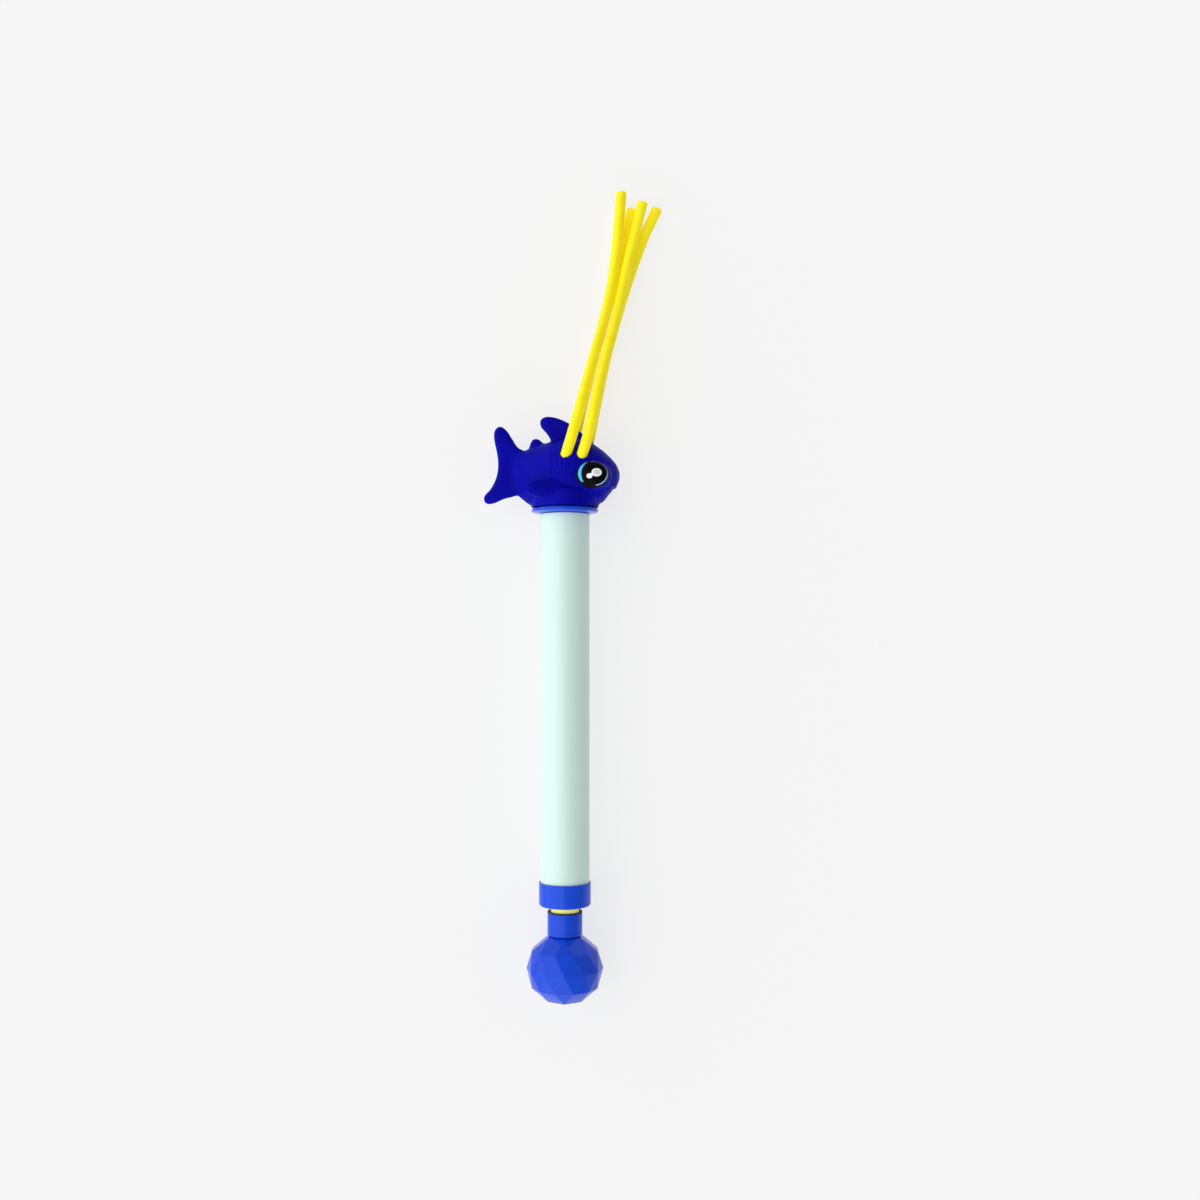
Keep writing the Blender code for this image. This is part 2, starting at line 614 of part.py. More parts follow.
def body_section(station, inset):
    """One ring of the shark's body across X, pulled in by an inset."""
    x, belly, back, half_width = station
    middle = 0.5 * (belly + back)
    tall = 0.5 * (back - belly) - inset
    wide = half_width - inset
    ring = []
    for i in range(SECTION_SIDES):
        angle = 2.0 * math.pi * i / SECTION_SIDES
        c, s = math.cos(angle), math.sin(angle)
        bend = (abs(c) ** SECTION_POWER + abs(s) ** SECTION_POWER) ** (-1.0 / SECTION_POWER)
        ring.append(Vector((x * MM, FLANGE_FRONT + (middle + tall * bend * s) * MM, wide * bend * c * MM)))
    return ring


def loft(shape, sections):
    """Join rings of equal count into one closed skin."""
    rings = [[shape.verts.new(point) for point in section] for section in sections]
    for ring, following in zip(rings, rings[1:]):
        for k in range(SECTION_SIDES):
            after = (k + 1) % SECTION_SIDES
            shape.faces.new((ring[k], ring[after], following[after], following[k]))
    shape.faces.new(rings[0][::-1])
    shape.faces.new(rings[-1])


def body_sections(rear, front, inset):
    """The body's rings between two places along X."""
    return [body_section(station, inset) for station in BODY_STATIONS if rear <= station[0] <= front]


def ellipsoid(name, centre, size, side, lean=0.0):
    """A rounded lump, centre and half sizes in millimetres, mirrored to one side of the shark.

    A lean lifts its tail end away from the body.
    """
    x, y, z = centre
    place = Matrix.Translation((x * MM, FLANGE_FRONT + y * MM, side * z * MM))
    turn = Matrix.Rotation(side * lean, 4, "Y")
    stretch = Matrix.Diagonal((size[0] * MM, size[1] * MM, size[2] * MM, 1.0))

    def build(shape):
        bmesh.ops.create_uvsphere(
            shape, u_segments=16, v_segments=8, radius=1.0, matrix=place @ turn @ stretch)
    return mesh_from(name, build)


def fin(name, outline, thickness):
    """A flat fin from an outline in the shark's middle plane."""
    curve = bpy.data.curves.new(name, "CURVE")
    curve.dimensions = "2D"
    curve.fill_mode = "BOTH"
    curve.extrude = thickness / 2.0
    spline = curve.splines.new("POLY")
    spline.points.add(len(outline) - 1)
    spline.use_cyclic_u = True
    for target, (x, y) in zip(spline.points, outline):
        target.co = (x * MM, FLANGE_FRONT + y * MM, 0.0, 1.0)
    flat = bpy.data.objects.new(name + "_curve", curve)
    CUTTERS.objects.link(flat)
    bpy.context.view_layer.update()
    solid = bpy.data.meshes.new_from_object(flat.evaluated_get(bpy.context.evaluated_depsgraph_get()))
    bpy.data.objects.remove(flat, do_unlink=True)
    shape = bmesh.new()
    shape.from_mesh(solid)
    bmesh.ops.remove_doubles(shape, verts=shape.verts, dist=0.00001)
    bmesh.ops.recalc_face_normals(shape, faces=shape.faces)
    shape.to_mesh(solid)
    shape.free()
    return solid


def collar(shape):
    """The round neck of the head that widens from the flange into the body."""
    depth = COLLAR_HEIGHT - SKIN_START
    middle = FLANGE_FRONT + SKIN_START + depth / 2.0
    turn = Matrix.Translation((0.0, middle, 0.0)) @ Matrix.Rotation(-math.pi / 2.0, 4, "X")
    bmesh.ops.create_cone(
        shape, cap_ends=True, segments=TURN_STEPS, radius1=FLANGE_RADIUS, radius2=FLANGE_RADIUS + COLLAR_FLARE,
        depth=depth, matrix=turn)


def shark_head():
    """The soft hollow head: body, fins and eye bulges joined, then opened for the boss and hoses."""
    first, last = BODY_STATIONS[0][0], BODY_STATIONS[-1][0]
    head = add_part("shark_head", mesh_from("shark_head", lambda shape: loft(
        shape, body_sections(first, last, 0.0))), "shark_vinyl")
    additions = [
        ("collar", mesh_from("collar", collar)),
        ("tail_fin", fin("tail_fin", TAIL_OUTLINE, TAIL_THICKNESS)),
        ("dorsal_fin", fin("dorsal_fin", DORSAL_OUTLINE, DORSAL_THICKNESS)),
        ("finlet", fin("finlet", FINLET_OUTLINE, TAIL_THICKNESS)),
    ]
    for side, label in ((1.0, "near"), (-1.0, "far")):
        additions.append(("eye_bulge_" + label, ellipsoid("eye_bulge", EYE_CENTRE, EYE_SIZE, side)))
        additions.append(("pectoral_" + label, ellipsoid(
            "pectoral", PECTORAL_CENTRE, PECTORAL_SIZE, side, PECTORAL_LEAN)))
    for name, mesh in additions:
        boolean(head, add_cutter(name, mesh), "UNION")
    wall = SKIN_WALL / MM
    cavity = add_cutter("head_cavity", mesh_from("head_cavity", lambda shape: loft(
        shape, body_sections(CAVITY_REAR, CAVITY_FRONT, wall))))
    boolean(head, cavity, "DIFFERENCE")
    mouth = rod_between(
        "boss_opening", (0.0, FLANGE_REAR, 0.0), (0.0, MANIFOLD_FRONT + OPENING_ABOVE_MANIFOLD, 0.0),
        BOSS_RADIUS + FIT, TURN_STEPS)
    boolean(head, add_cutter("boss_opening", mouth), "DIFFERENCE")
    for name, route in HOSE_ROUTES.items():
        start, way = hose_start(route)
        hole = rod_between(name + "_hole", start, start + way * HOSE_HOLE_REACH, HOSE_RADIUS + 3.0 * FIT)
        boolean(head, add_cutter(name + "_hole", hole), "DIFFERENCE")


def main():
    """Build the whole pump."""
    plunger_slide = bpy.data.objects.new("plunger_slide_axis", None)
    PARTS.objects.link(plunger_slide)
    plunger = bpy.data.objects.new("plunger_swivel_axis", None)
    PARTS.objects.link(plunger)
    plunger.parent = plunger_slide
    barrel_tube()
    rear_cap()
    rod_guide_ring()
    head_base()
    manifold_gasket()
    spout_manifold()
    manifold_screws()
    shark_head()
    hoses()
    piston_rod(plunger)
    rod_plug("rod_end_plug", ROD_REAR, ROD_REAR + ROD_PLUG_LENGTH, plunger)
    rod_plug("rod_front_plug", ROD_FRONT - ROD_PLUG_LENGTH, ROD_FRONT, plunger)
    piston_head(plunger_slide, plunger)
    handle_neck(plunger)
    handle_fixing(plunger)
    ball_halves(plunger)


clear_scene()
PARTS = new_collection("water_pump")
CUTTERS = new_collection("cutters")
main()
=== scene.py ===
# %% [markdown]
# # A child's hand water pump with a shark head
#
# The pump is a pale mint barrel with a piston inside it. A faceted blue ball is the handle, and four
# yellow hoses leave a soft vinyl shark head at the other end. It lies on its side, seen from above.
# The frame holds the mechanical parts at their real places, and this script gives them their looks.

import json
import math

import bmesh
import bpy
import numpy as np
from mathutils import Matrix, Vector
from mathutils.bvhtree import BVHTree


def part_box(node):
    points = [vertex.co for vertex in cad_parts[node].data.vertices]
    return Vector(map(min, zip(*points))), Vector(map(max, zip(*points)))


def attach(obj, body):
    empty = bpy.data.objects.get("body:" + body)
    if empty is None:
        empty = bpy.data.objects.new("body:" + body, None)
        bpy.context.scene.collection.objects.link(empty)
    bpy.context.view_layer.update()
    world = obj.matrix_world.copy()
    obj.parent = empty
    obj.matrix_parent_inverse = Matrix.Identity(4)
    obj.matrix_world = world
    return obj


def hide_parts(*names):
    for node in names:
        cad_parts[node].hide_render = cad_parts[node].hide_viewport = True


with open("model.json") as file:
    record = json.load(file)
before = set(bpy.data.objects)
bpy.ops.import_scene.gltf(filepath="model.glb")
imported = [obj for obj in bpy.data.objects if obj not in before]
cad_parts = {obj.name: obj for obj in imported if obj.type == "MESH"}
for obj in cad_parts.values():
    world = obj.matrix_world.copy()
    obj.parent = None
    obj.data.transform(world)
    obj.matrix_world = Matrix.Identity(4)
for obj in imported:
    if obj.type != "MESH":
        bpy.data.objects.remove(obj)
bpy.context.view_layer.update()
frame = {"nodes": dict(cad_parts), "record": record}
MM = 0.001


def linked(name, data):
    """A new object in the scene."""
    holder = bpy.data.objects.new(name, data)
    bpy.context.scene.collection.objects.link(holder)
    return holder


def evaluated(holder, name):
    """The evaluated mesh of an object, with the object removed."""
    bpy.context.view_layer.update()
    graph = bpy.context.evaluated_depsgraph_get()
    mesh = bpy.data.meshes.new_from_object(holder.evaluated_get(graph))
    mesh.name = name
    bpy.data.objects.remove(holder, do_unlink=True)
    return mesh


def bridge(shape, rings):
    """Join rings of corners with faces, each ring to the next."""
    for ring, following in zip(rings, rings[1:]):
        for k, corner in enumerate(ring):
            after = (k + 1) % len(ring)
            shape.faces.new((corner, ring[after], following[after], following[k]))


def meshed(shape, name):
    """The mesh of a finished shape, with all its faces turned outward."""
    bmesh.ops.recalc_face_normals(shape, faces=shape.faces)
    mesh = bpy.data.meshes.new(name)
    shape.to_mesh(mesh)
    shape.free()
    return mesh


# %% [markdown]
# Every place is worked out from the frame. The pump's axis is the Y axis, the handle's end is at
# Y = 0, and the head base's boss ends a known distance in front of its flange.

# %% Places along the pump
FIT = 0.3 * MM
BOSS_HEIGHT = 10.0 * MM
FLANGE_THICKNESS = 3.0 * MM
FLANGE_RIM = 1.9 * MM
barrel_low, barrel_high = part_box("barrel_tube")
cap_low, cap_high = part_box("rear_cap")
neck_low, neck_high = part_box("handle_neck")
rod_low, rod_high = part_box("piston_rod")
base_low, base_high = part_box("head_base")
ball_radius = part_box("ball_rear_half")[1].x
flange_front = base_high.y - BOSS_HEIGHT
flange_rear = flange_front - FLANGE_THICKNESS
ball_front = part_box("ball_front_half")[1].y
floor_height = -ball_radius
print("flange front at %.1f mm, floor at %.1f mm" % (flange_front / MM, floor_height / MM))

# %% [markdown]
# The camera looks straight down on the pump from a little under a metre, so rims nearer the ends show
# a slight curve. Its line of sight meets the pump between the barrel's middle and the head.

# %% Camera
CAMERA_HEIGHT = 871.0 * MM
CAMERA_X = 22.8 * MM
CAMERA_Y = 235.85 * MM
SENSOR_WIDTH = 36.0
LENS = 40.2
VIEW_SHIFT = 0.0308

camera_data = bpy.data.cameras.new("camera")
camera_data.sensor_width = SENSOR_WIDTH
camera_data.lens = LENS
camera_data.shift_y = VIEW_SHIFT
camera_data.clip_start = 0.01
camera = linked("camera", camera_data)
camera.location = (CAMERA_X, CAMERA_Y, CAMERA_HEIGHT)
bpy.context.scene.camera = camera
bpy.context.scene.view_settings.view_transform = "Standard"
print("camera %.0f mm above the axis" % (CAMERA_HEIGHT / MM))

# %% [markdown]
# A hose is 7 mm soft tube. Each one leaves the head leaning forward and outward, droops to the table
# and lies along it, and the upper pair rests on the lower pair where they cross. Each route is a fixed
# list of points in millimetres, its heights set by judgement, and a smooth curve through them has the
# hose's real length.

# %% Hose routes
HOSE_RADIUS = 3.5 * MM
HOSE_BORE = 2.1 * MM
HOSE_BORE_DEPTH = 14.0 * MM
HOSE_EDGE = 0.35 * MM
HOSE_SIDES = 32
WALL_FACE_CORNERS = 4
HOSE_HOLE_REACH = 32.0 * MM
ROUTE_PARTS = 12
HOSE_ROUTES = {
    "hose_near_left": [
        (-3.6, 20.3, 11.0), (2.3, 36.8, 19.5), (5.0, 45.0, 22.0), (8.1, 55.7, 22.4), (11.0, 66.5, 20.9),
        (14.6, 80.5, 16.8), (18.7, 96.5, 10.6), (23.0, 113.1, 3.4), (27.0, 130.4, -4.2),
        (30.4, 147.7, -10.2), (32.7, 164.5, -13.4), (34.4, 180.6, -13.6), (35.9, 197.5, -14.1),
        (36.8, 210.4, -14.7)],
    "hose_near_right": [
        (6.3, 20.3, 11.4), (12.7, 36.8, 20.1), (15.2, 45.0, 22.2), (17.7, 55.7, 22.4), (20.0, 66.5, 20.9),
        (22.8, 80.5, 16.8), (26.4, 96.5, 10.6), (30.6, 113.1, 3.4), (34.6, 130.4, -4.0),
        (38.0, 147.7, -10.0), (41.4, 164.4, -13.4), (45.2, 181.0, -15.0), (48.7, 195.3, -15.2),
        (50.9, 204.1, -14.8)],
    "hose_far_left": [
        (-3.6, 20.3, -12.6), (2.3, 36.8, -18.6), (5.4, 46.5, -21.0), (8.4, 59.0, -21.4),
        (11.2, 72.0, -21.4), (14.8, 86.7, -21.4), (18.6, 102.7, -21.4), (23.0, 118.7, -21.4),
        (27.4, 134.7, -21.4), (31.4, 150.7, -21.4), (35.2, 166.6, -21.4), (38.9, 182.6, -21.4),
        (42.1, 193.9, -21.4), (44.2, 201.3, -21.4)],
    "hose_far_right": [
        (6.3, 20.3, -12.6), (12.7, 36.8, -18.6), (15.3, 46.5, -21.0), (17.7, 59.0, -21.4),
        (20.3, 72.0, -21.4), (23.3, 86.7, -21.4), (26.7, 102.7, -21.4), (30.8, 118.7, -21.4),
        (35.5, 134.7, -21.4), (40.4, 150.7, -21.4), (45.7, 166.6, -21.4), (51.8, 182.6, -21.4),
        (57.0, 193.9, -21.4), (60.7, 201.8, -21.4)],
}


def smooth_route(points, parts=ROUTE_PARTS):
    """Points on a smooth curve through the given ones, and the curve's length."""
    ends = [points[0] * 2.0 - points[1]] + points + [points[-1] * 2.0 - points[-2]]
    fine = []
    for p0, p1, p2, p3 in zip(ends, ends[1:], ends[2:], ends[3:]):
        for i in range(parts):
            t = i / parts
            fine.append(0.5 * (2.0 * p1 + (p2 - p0) * t + (2.0 * p0 - 5.0 * p1 + 4.0 * p2 - p3) * t * t
                               + (3.0 * p1 - p0 - 3.0 * p2 + p3) * t * t * t))
    fine.append(points[-1])
    return fine, sum((after - before).length for before, after in zip(fine, fine[1:]))


hose_lines = {}
for hose_name, route in HOSE_ROUTES.items():
    places = [Vector((x * MM, y * MM + flange_front, z * MM)) for x, y, z in route]
    hose_lines[hose_name] = smooth_route(places)
    print(hose_name, "is %.0f mm long" % (hose_lines[hose_name][1] / MM))

# %% [markdown]
# Surfaces are described with nodes. To keep their sums readable, a small class wraps a socket, so that
# ordinary Python expressions add the Math nodes. Every other node comes from one method.

# %% A socket that understands sums


def plug(socket, value):
    """Give a socket a value, or link a signal to it."""
    if isinstance(value, Signal):
        socket.id_data.links.new(value.socket, socket)
    else:
        socket.default_value = value


class Signal:
    """The output of a node. Sums of signals and numbers add Math nodes to its tree."""

    def __init__(self, socket):
        self.socket = socket

    def maths(self, operation, first, second):
        node = self.socket.id_data.nodes.new("ShaderNodeMath")
        node.operation = operation
        plug(node.inputs[0], first)
        plug(node.inputs[1], second)
        return Signal(node.outputs[0])

    def __add__(self, other):
        return self.maths("ADD", self, other)

    def __radd__(self, other):
        return self.maths("ADD", other, self)

    def __sub__(self, other):
        return self.maths("SUBTRACT", self, other)

    def __rsub__(self, other):
        return self.maths("SUBTRACT", other, self)

    def __mul__(self, other):
        return self.maths("MULTIPLY", self, other)

    def __rmul__(self, other):
        return self.maths("MULTIPLY", other, self)

    def __truediv__(self, other):
        return self.maths("DIVIDE", self, other)

    def __pow__(self, other):
        return self.maths("POWER", self, other)


print("signals ready")

# %% [markdown]
# A finish is a material under construction. Its shader's fixed values are set on the sockets, and what
# varies over the surface is linked. Patterns read Object coordinates, which are the frame's own metres.

# %% A material under construction


class Nodes:
    """A node tree, with one method that adds any node to it."""

    def __init__(self, tree):
        self.tree = tree

    def node(self, kind, settings=None, sockets=None, output=0):
        """Add a node: its settings first, then its sockets' values or links. Returns one output."""
        node = self.tree.nodes.new(kind)
        for name, value in (settings or {}).items():
            setattr(node, name, value)
        for name, value in (sockets or {}).items():
            plug(node.inputs[name], value)
        return Signal(node.outputs[output])

    def ramp(self, value, low, high):
        """A smooth step from 0 to 1 as a value goes from low to high."""
        return self.node("ShaderNodeMapRange", {"interpolation_type": "SMOOTHSTEP"},
                         {"Value": value, "From Min": low, "From Max": high}, "Result")

    def blend(self, share, first, second):
        """A colour between two others."""
        node = self.tree.nodes.new("ShaderNodeMix")
        node.data_type = "RGBA"
        plug(node.inputs["Factor"], share)
        for socket, colour in (("A", first), ("B", second)):
            ends = [item for item in node.inputs if item.name == socket and item.type == "RGBA"]
            plug(ends[0], colour if isinstance(colour, Signal) else (*colour, 1.0))
        return Signal([item for item in node.outputs if item.type == "RGBA"][0])


class Finish(Nodes):
    """A Principled material under construction."""

    def __init__(self, name, **fixed):
        self.material = bpy.data.materials.new(name)
        self.material.use_nodes = True
        super().__init__(self.material.node_tree)
        self.shader = self.tree.nodes["Principled BSDF"]
        for socket, value in fixed.items():
            self.shader.inputs[socket.replace("_", " ")].default_value = value
        self.place = self.node("ShaderNodeTexCoord", output="Object")

    def noise(self, scale, detail=2.0, stretch=(1.0, 1.0, 1.0)):
        """Soft noise from 0 to 1, with features a metre divided by scale across."""
        mapped = self.node("ShaderNodeMapping", None, {"Vector": self.place, "Scale": stretch})
        return self.node("ShaderNodeTexNoise", None, {"Vector": mapped, "Scale": scale, "Detail": detail})

    def colour(self, value):
        plug(self.shader.inputs["Base Color"], value)

    def roughness(self, value):
        plug(self.shader.inputs["Roughness"], value)

    def bump(self, height, depth, strength=1.0):
        """Raise the surface by a height from 0 to 1 times a depth in metres."""
        normal = self.node("ShaderNodeBump", None, {
            "Height": height, "Distance": depth, "Strength": strength}, "Normal")
        plug(self.shader.inputs["Normal"], normal)


print("finishes ready")

# %% [markdown]
# The hoses are soft PVC. It is a strong warm yellow with a satin skin: faint cloudiness in the colour,
# a fine pebble from extrusion, and soft smears where hands have polished it. A faint yellow glow is painted
# light.

# %% Hose finish


def yellow_hose_finish():
    # The yellow glow is painted light that brightens the hose.
    finish = Finish("yellow hose", IOR=1.5, Specular_IOR_Level=0.25, Emission_Strength=0.14)
    finish.shader.inputs["Emission Color"].default_value = (0.95, 0.80, 0.004, 1.0)
    cloud = finish.noise(90.0, 3.0)
    finish.colour(finish.blend(finish.ramp(cloud, 0.3, 0.7), (0.88, 0.74, 0.004), (0.92, 0.80, 0.008)))
    smear = finish.noise(160.0, 4.0)
    finish.roughness(0.40 + 0.16 * finish.ramp(smear, 0.35, 0.7))
    grain = finish.noise(2600.0, 2.0)
    finish.bump(grain, 0.05 * MM, 0.5)
    return finish.material


hose_material = yellow_hose_finish()
print("made", hose_material.name)

# %% [markdown]
# A hose follows a path, so Geometry Nodes make it: a circle is swept along the route and both ends
# are capped. Each cap is then pushed out a little as it narrows, which rounds the cut edge, narrowed to
# the bore, and pushed back in to open the bore. One tree serves all four hoses.

# %% Geometry Nodes for a hose


def group_tree(name, sockets):
    """A new geometry tree with a geometry input and output, and named inputs for its sizes."""
    tree = bpy.data.node_groups.new(name, "GeometryNodeTree")
    tree.interface.new_socket("Geometry", in_out="INPUT", socket_type="NodeSocketGeometry")
    tree.interface.new_socket("Geometry", in_out="OUTPUT", socket_type="NodeSocketGeometry")
    for label, (kind, value) in sockets.items():
        socket = tree.interface.new_socket(label, in_out="INPUT", socket_type=kind)
        if value is not None:
            socket.default_value = value
    return tree, tree.nodes.new("NodeGroupInput"), tree.nodes.new("NodeGroupOutput")


def tree_node(tree, kind, settings=None, sockets=None):
    """Add a node to a geometry tree: settings, then values or links by socket name."""
    node = tree.nodes.new(kind)
    for name, value in (settings or {}).items():
        setattr(node, name, value)
    for name, value in (sockets or {}).items():
        if isinstance(value, bpy.types.NodeSocket):
            tree.links.new(value, node.inputs[name])
        else:
            node.inputs[name].default_value = value
    return node


def finish_tree(tree, geometry, material_socket, group_output):
    """End a tree: real geometry in place of instances, and its material."""
    real = tree_node(tree, "GeometryNodeRealizeInstances", None, {"Geometry": geometry})
    dressed = tree_node(tree, "GeometryNodeSetMaterial", None, {
        "Geometry": real.outputs[0], "Material": material_socket})
    tree.links.new(dressed.outputs[0], group_output.inputs[0])


def hose_tree():
    tree, given, result = group_tree("hose", {
        "Radius": ("NodeSocketFloat", HOSE_RADIUS),
        "Edge": ("NodeSocketFloat", HOSE_EDGE),
        "Bore": ("NodeSocketFloat", HOSE_BORE),
        "Bore Depth": ("NodeSocketFloat", HOSE_BORE_DEPTH),
        "Sides": ("NodeSocketInt", HOSE_SIDES),
        "Material": ("NodeSocketMaterial", None),
    })
    size = given.outputs
    circle = tree_node(tree, "GeometryNodeCurvePrimitiveCircle", {"mode": "RADIUS"}, {
        "Resolution": size["Sides"], "Radius": size["Radius"]})
    swept = tree_node(tree, "GeometryNodeCurveToMesh", None, {
        "Curve": size["Geometry"], "Profile Curve": circle.outputs[0], "Fill Caps": True})
    corners = tree_node(tree, "GeometryNodeInputMeshFaceNeighbors")
    is_cap = tree_node(tree, "FunctionNodeCompare", {"data_type": "INT", "operation": "GREATER_THAN"})
    tree.links.new(corners.outputs["Vertex Count"], is_cap.inputs[2])
    is_cap.inputs[3].default_value = WALL_FACE_CORNERS
    rim = tree_node(tree, "ShaderNodeMath", {"operation": "SUBTRACT"})
    tree.links.new(size["Radius"], rim.inputs[0])
    tree.links.new(size["Edge"], rim.inputs[1])
    shape, selection = swept.outputs[0], is_cap.outputs[0]
    steps = [(size["Edge"], rim.outputs[0], size["Radius"]), (0.0, size["Bore"], rim.outputs[0]),
             (size["Bore Depth"], None, None)]
    for reach, target, start in steps:
        pushed = tree_node(tree, "GeometryNodeExtrudeMesh", {"mode": "FACES"}, {
            "Mesh": shape, "Selection": selection, "Individual": True})
        if target is None:
            inward = tree_node(tree, "ShaderNodeMath", {"operation": "MULTIPLY"})
            tree.links.new(reach, inward.inputs[0])
            inward.inputs[1].default_value = -1.0
            tree.links.new(inward.outputs[0], pushed.inputs["Offset Scale"])
        elif isinstance(reach, float):
            pushed.inputs["Offset Scale"].default_value = reach
        else:
            tree.links.new(reach, pushed.inputs["Offset Scale"])
        shape, selection = pushed.outputs["Mesh"], pushed.outputs["Top"]
        if target is not None:
            ratio = tree_node(tree, "ShaderNodeMath", {"operation": "DIVIDE"})
            tree.links.new(target, ratio.inputs[0])
            tree.links.new(start, ratio.inputs[1])
            narrowed = tree_node(tree, "GeometryNodeScaleElements", None, {
                "Geometry": shape, "Selection": selection, "Scale": ratio.outputs[0]})
            shape = narrowed.outputs[0]
    finish_tree(tree, shape, size["Material"], result)
    return tree


def set_input(modifier, label, value):
    """Set a tree's input on its modifier, by the socket's identifier."""
    for item in modifier.node_group.interface.items_tree:
        if item.item_type == "SOCKET" and item.in_out == "INPUT" and item.name == label:
            modifier[item.identifier] = value


def baked(name, source, tree, values):
    """Run a tree on an object and return the result as a plain mesh object of the given name."""
    modifier = source.modifiers.new(tree.name, "NODES")
    modifier.node_group = tree
    for label, value in values.items():
        set_input(modifier, label, value)
    return linked(name, evaluated(source, name))


def smooth_shading(mesh, angle=35.0):
    """Shade a mesh smooth, with edges sharper than an angle left crisp."""
    mesh.shade_smooth()
    mesh.set_sharp_from_angle(angle=math.radians(angle))


HOSE_TREE = hose_tree()
print("hose tree has", len(HOSE_TREE.nodes), "nodes")

# %% [markdown]
# Each route becomes a curve, and the tree turns it into a hose.

# %% The four hoses


def route_object(name, points):
    """A curve object through the points, as the tree's input."""
    curve = bpy.data.curves.new(name + "_route", "CURVE")
    curve.dimensions = "3D"
    spline = curve.splines.new("POLY")
    spline.points.add(len(points) - 1)
    for target, point in zip(spline.points, points):
        target.co = (*point, 1.0)
    return linked(name + "_route", curve)


def make_hose(name):
    points, length = hose_lines[name]
    piece = baked(name + "_tube", route_object(name, points), HOSE_TREE, {
        "Radius": HOSE_RADIUS, "Edge": HOSE_EDGE, "Bore": HOSE_BORE, "Bore Depth": HOSE_BORE_DEPTH,
        "Sides": HOSE_SIDES, "Material": hose_material})
    smooth_shading(piece.data)
    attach(piece, "pump_body")
    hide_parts(name)
    print(piece.name, len(piece.data.polygons), "faces")


for hose_name in HOSE_ROUTES:
    make_hose(hose_name)

# %% [markdown]
# The rigid plastics come next. The blue is a satin moulded plastic with hardly any pattern: a trace of
# mould flow, a faint orange peel and fine scuffs that dull the shine in patches.

# %% Rigid plastic finishes


def moulded_finish(name, dark, light, shine, gloss=0.5, painted_glow=0.0):
    """A satin moulded plastic between two close colours, with flow, orange peel and scuffs.

    A little glow is painted light, which makes the plastic brighter than its lighting alone would.
    """
    finish = Finish(name, IOR=1.5, Specular_IOR_Level=gloss, Emission_Strength=painted_glow)
    finish.shader.inputs["Emission Color"].default_value = (*light, 1.0)
    flow = finish.noise(28.0, 3.0, (1.0, 0.35, 1.0))
    finish.colour(finish.blend(finish.ramp(flow, 0.3, 0.7), dark, light))
    scuff = finish.noise(420.0, 5.0, (1.0, 0.25, 1.0))
    finish.roughness(shine + 0.13 * finish.ramp(scuff, 0.5, 0.75))
    peel = finish.noise(700.0, 2.0)
    finish.bump(peel, 0.03 * MM, 0.35)
    return finish.material


blue_material = moulded_finish("blue plastic", (0.003, 0.058, 0.64), (0.005, 0.071, 0.71), 0.15, gloss=0.24)
# The rod's glow is painted light that brightens it in the shade between the cap and the neck.
rod_material = moulded_finish("yellow rod plastic", (0.93, 0.84, 0.20), (0.97, 0.90, 0.26), 0.3, painted_glow=0.32)
white_material = moulded_finish("white plastic", (0.74, 0.74, 0.71), (0.82, 0.82, 0.79), 0.38)
print("made", blue_material.name, rod_material.name, white_material.name)

# %% [markdown]
# The barrel is an extruded tube in pale mint. Extrusion draws faint lines along it and leaves the colour
# a little milky, and sliding hands leave long soft scuffs.

# %% Barrel finish


def mint_finish():
    finish = Finish("mint tube", IOR=1.5, Specular_IOR_Level=0.4)
    milk = finish.noise(40.0, 3.0, (1.0, 0.12, 1.0))
    lines = finish.noise(900.0, 2.0, (1.0, 0.02, 1.0))
    share = 0.7 * finish.ramp(milk, 0.3, 0.7) + 0.3 * lines
    finish.colour(finish.blend(share, (0.62, 0.83, 0.755), (0.67, 0.865, 0.795)))
    scuff = finish.noise(240.0, 5.0, (1.0, 0.12, 1.0))
    finish.roughness(0.36 + 0.18 * finish.ramp(scuff, 0.48, 0.75))
    finish.bump(lines, 0.04 * MM, 0.4)
    return finish.material


mint_material = mint_finish()
print("made", mint_material.name)

# %% [markdown]
# The seals are black nitrile rubber, matt, with a little dust in its pores. The same black rubber paints the
# shade ring in the neck's mouth.

# %% Rubber finish


def rubber_finish():
    finish = Finish("seal rubber", IOR=1.5)
    dust = finish.noise(600.0, 4.0)
    finish.colour(finish.blend(finish.ramp(dust, 0.45, 0.8), (0.012, 0.012, 0.013), (0.04, 0.04, 0.042)))
    finish.roughness(0.45 + 0.25 * dust)
    finish.bump(finish.noise(3000.0, 2.0), 0.03 * MM, 0.5)
    return finish.material


rubber_material = rubber_finish()
print("made", rubber_material.name)

# %% [markdown]
# Round pieces are turned from a profile. Real moulded edges are never knife sharp, so a helper rounds
# every corner of the profile before it is turned. Sawn ends and moulded edges have rounds of their own.

# %% Turned pieces
SAWN_EDGE = 0.3 * MM
MOULDED_EDGE = 0.25 * MM
BASE_EDGE = 0.35 * MM


def soften(profile, radius, arc_steps=4):
    """Round each corner of a closed profile of (radius, place) points."""
    corners = [Vector(point) for point in profile]
    soft = []
    for before, corner, after in zip(corners[-1:] + corners[:-1], corners, corners[1:] + corners[:1]):
        reach = min(radius, 0.45 * (before - corner).length, 0.45 * (after - corner).length)
        start = corner + (before - corner).normalized() * reach
        end = corner + (after - corner).normalized() * reach
        for i in range(arc_steps + 1):
            t = i / arc_steps
            soft.append(start * (1 - t) ** 2 + corner * (2 * t * (1 - t)) + end * t ** 2)
    return soft


